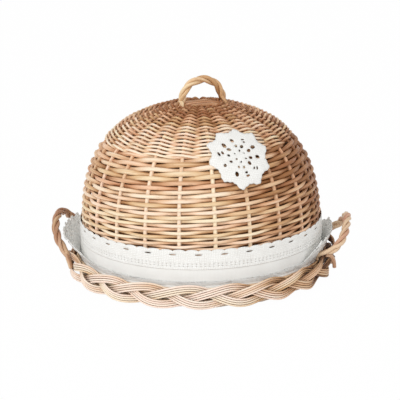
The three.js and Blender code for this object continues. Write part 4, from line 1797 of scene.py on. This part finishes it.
@dataclass
class Studio:
    """A pale floor, soft light and a camera at the photograph's viewing angle."""

    target: tuple[float, float, float] = (-0.6, 0.0, 84.9)
    distance: float = 1400.0
    azimuth: float = math.radians(7)
    elevation: float = math.radians(16.19)
    roll: float = math.radians(1.2)
    lens: float = 100.0
    lit_spot: tuple[float, float, float] = (0.0, 0.0, 0.08)
    sky: float = 0.72
    floor_white: float = 0.985

    def build(self) -> None:
        """Makes the camera, the lights, the world and the floor."""
        self.camera()
        self.light("key", (-0.75, -2.0, 1.25), size=1.2, power=20.0)
        self.light("fill", (1.7, -1.3, 0.7), size=1.6, power=4.0)
        self.world()
        self.floor()

    def aimed(self, spot: Vector, at: Vector) -> Matrix:
        """The turn and place of something that looks at a point."""
        return Matrix.LocRotScale(spot, (at - spot).to_track_quat("-Z", "Y"), None)

    def camera(self) -> None:
        """The camera, tipped a little, as the photograph is."""
        data = bpy.data.cameras.new("camera")
        data.lens = self.lens
        data.sensor_width = 36.0
        data.clip_end = 100.0
        camera = bpy.data.objects.new("camera", data)
        bpy.context.scene.collection.objects.link(camera)
        level = math.cos(self.elevation)
        aside, toward = math.sin(self.azimuth) * level, -math.cos(self.azimuth) * level
        back = Vector((aside, toward, math.sin(self.elevation)))
        target = Vector(self.target) * MM
        looking = self.aimed(target + back * self.distance * MM, target)
        camera.matrix_world = looking @ Matrix.Rotation(-self.roll, 4, "Z")
        bpy.context.scene.camera = camera

    def light(self, name: str, spot: tuple[float, float, float], size: float, power: float) -> None:
        """Adds one soft lamp.

        Args:
            name: The lamp's name.
            spot: Where it hangs, in metres.
            size: Its side, in metres.
            power: In watts.
        """
        data = bpy.data.lights.new(name, "AREA")
        data.size = size
        data.energy = power
        lamp = bpy.data.objects.new(name, data)
        bpy.context.scene.collection.objects.link(lamp)
        lamp.matrix_world = self.aimed(Vector(spot), Vector(self.lit_spot))

    def seen_white(self, tree: Tree) -> Socket:
        """Adds a test of where a ray comes from.

        Args:
            tree: The tree that gets the test.

        Returns:
            One for a ray from the camera, a gloss or a glass, and zero for others.
        """
        path = add_node(tree, "ShaderNodeLightPath").outputs
        gloss = calc(tree, "MAXIMUM", path["Is Glossy Ray"], path["Is Transmission Ray"])
        return calc(tree, "MAXIMUM", path["Is Camera Ray"], gloss)

    def world(self) -> None:
        """A soft even sky that the camera sees as white."""
        world = bpy.data.worlds.new("studio")
        bpy.context.scene.world = world
        world.use_nodes = True
        tree = world.node_tree
        tree.nodes.clear()
        strength = ranged(tree, self.seen_white(tree), 0.0, 1.0, self.sky, 1.0)
        sky = add_node(tree, "ShaderNodeBackground", {"Color": (1, 1, 1, 1), "Strength": strength})
        add_node(tree, "ShaderNodeOutputWorld", {"Surface": sky.outputs[0]})

    def floor(self) -> None:
        """A wide white floor that keeps a faint shadow."""
        half = 30000.0
        corners = np.array([[-half, -half, 0], [half, -half, 0], [half, half, 0], [-half, half, 0]])
        floor = new_object("studio_floor", corners, [], [(0, 1, 2, 3)])
        material, tree, _ = new_material("white_paper_sweep")
        tree.nodes.clear()
        paper = add_node(tree, "ShaderNodeBsdfDiffuse", {"Color": linear("#F2F2F2")})
        glow = add_node(tree, "ShaderNodeEmission", {"Color": (1, 1, 1, 1), "Strength": 1.0})
        share = calc(tree, "MULTIPLY", self.seen_white(tree), self.floor_white)
        mixed = add_node(tree, "ShaderNodeMixShader", {0: share, 1: paper.outputs[0], 2: glow.outputs[0]})
        add_node(tree, "ShaderNodeOutputMaterial", {"Surface": mixed.outputs[0]})
        floor.data.materials.append(material)


def main() -> None:
    """Builds the basket and its studio."""
    logging.basicConfig(level=logging.INFO, format="%(name)s: %(message)s")
    bpy.context.scene.view_settings.view_transform = "Standard"
    Studio().build()
    finish = make_finishes()
    weaver = RodWeaver()
    lacer = LaceMaker()
    Tray(weaver, lacer, finish).build()
    Lid(weaver, lacer, finish).build()


if __name__ == "__main__":
    main()
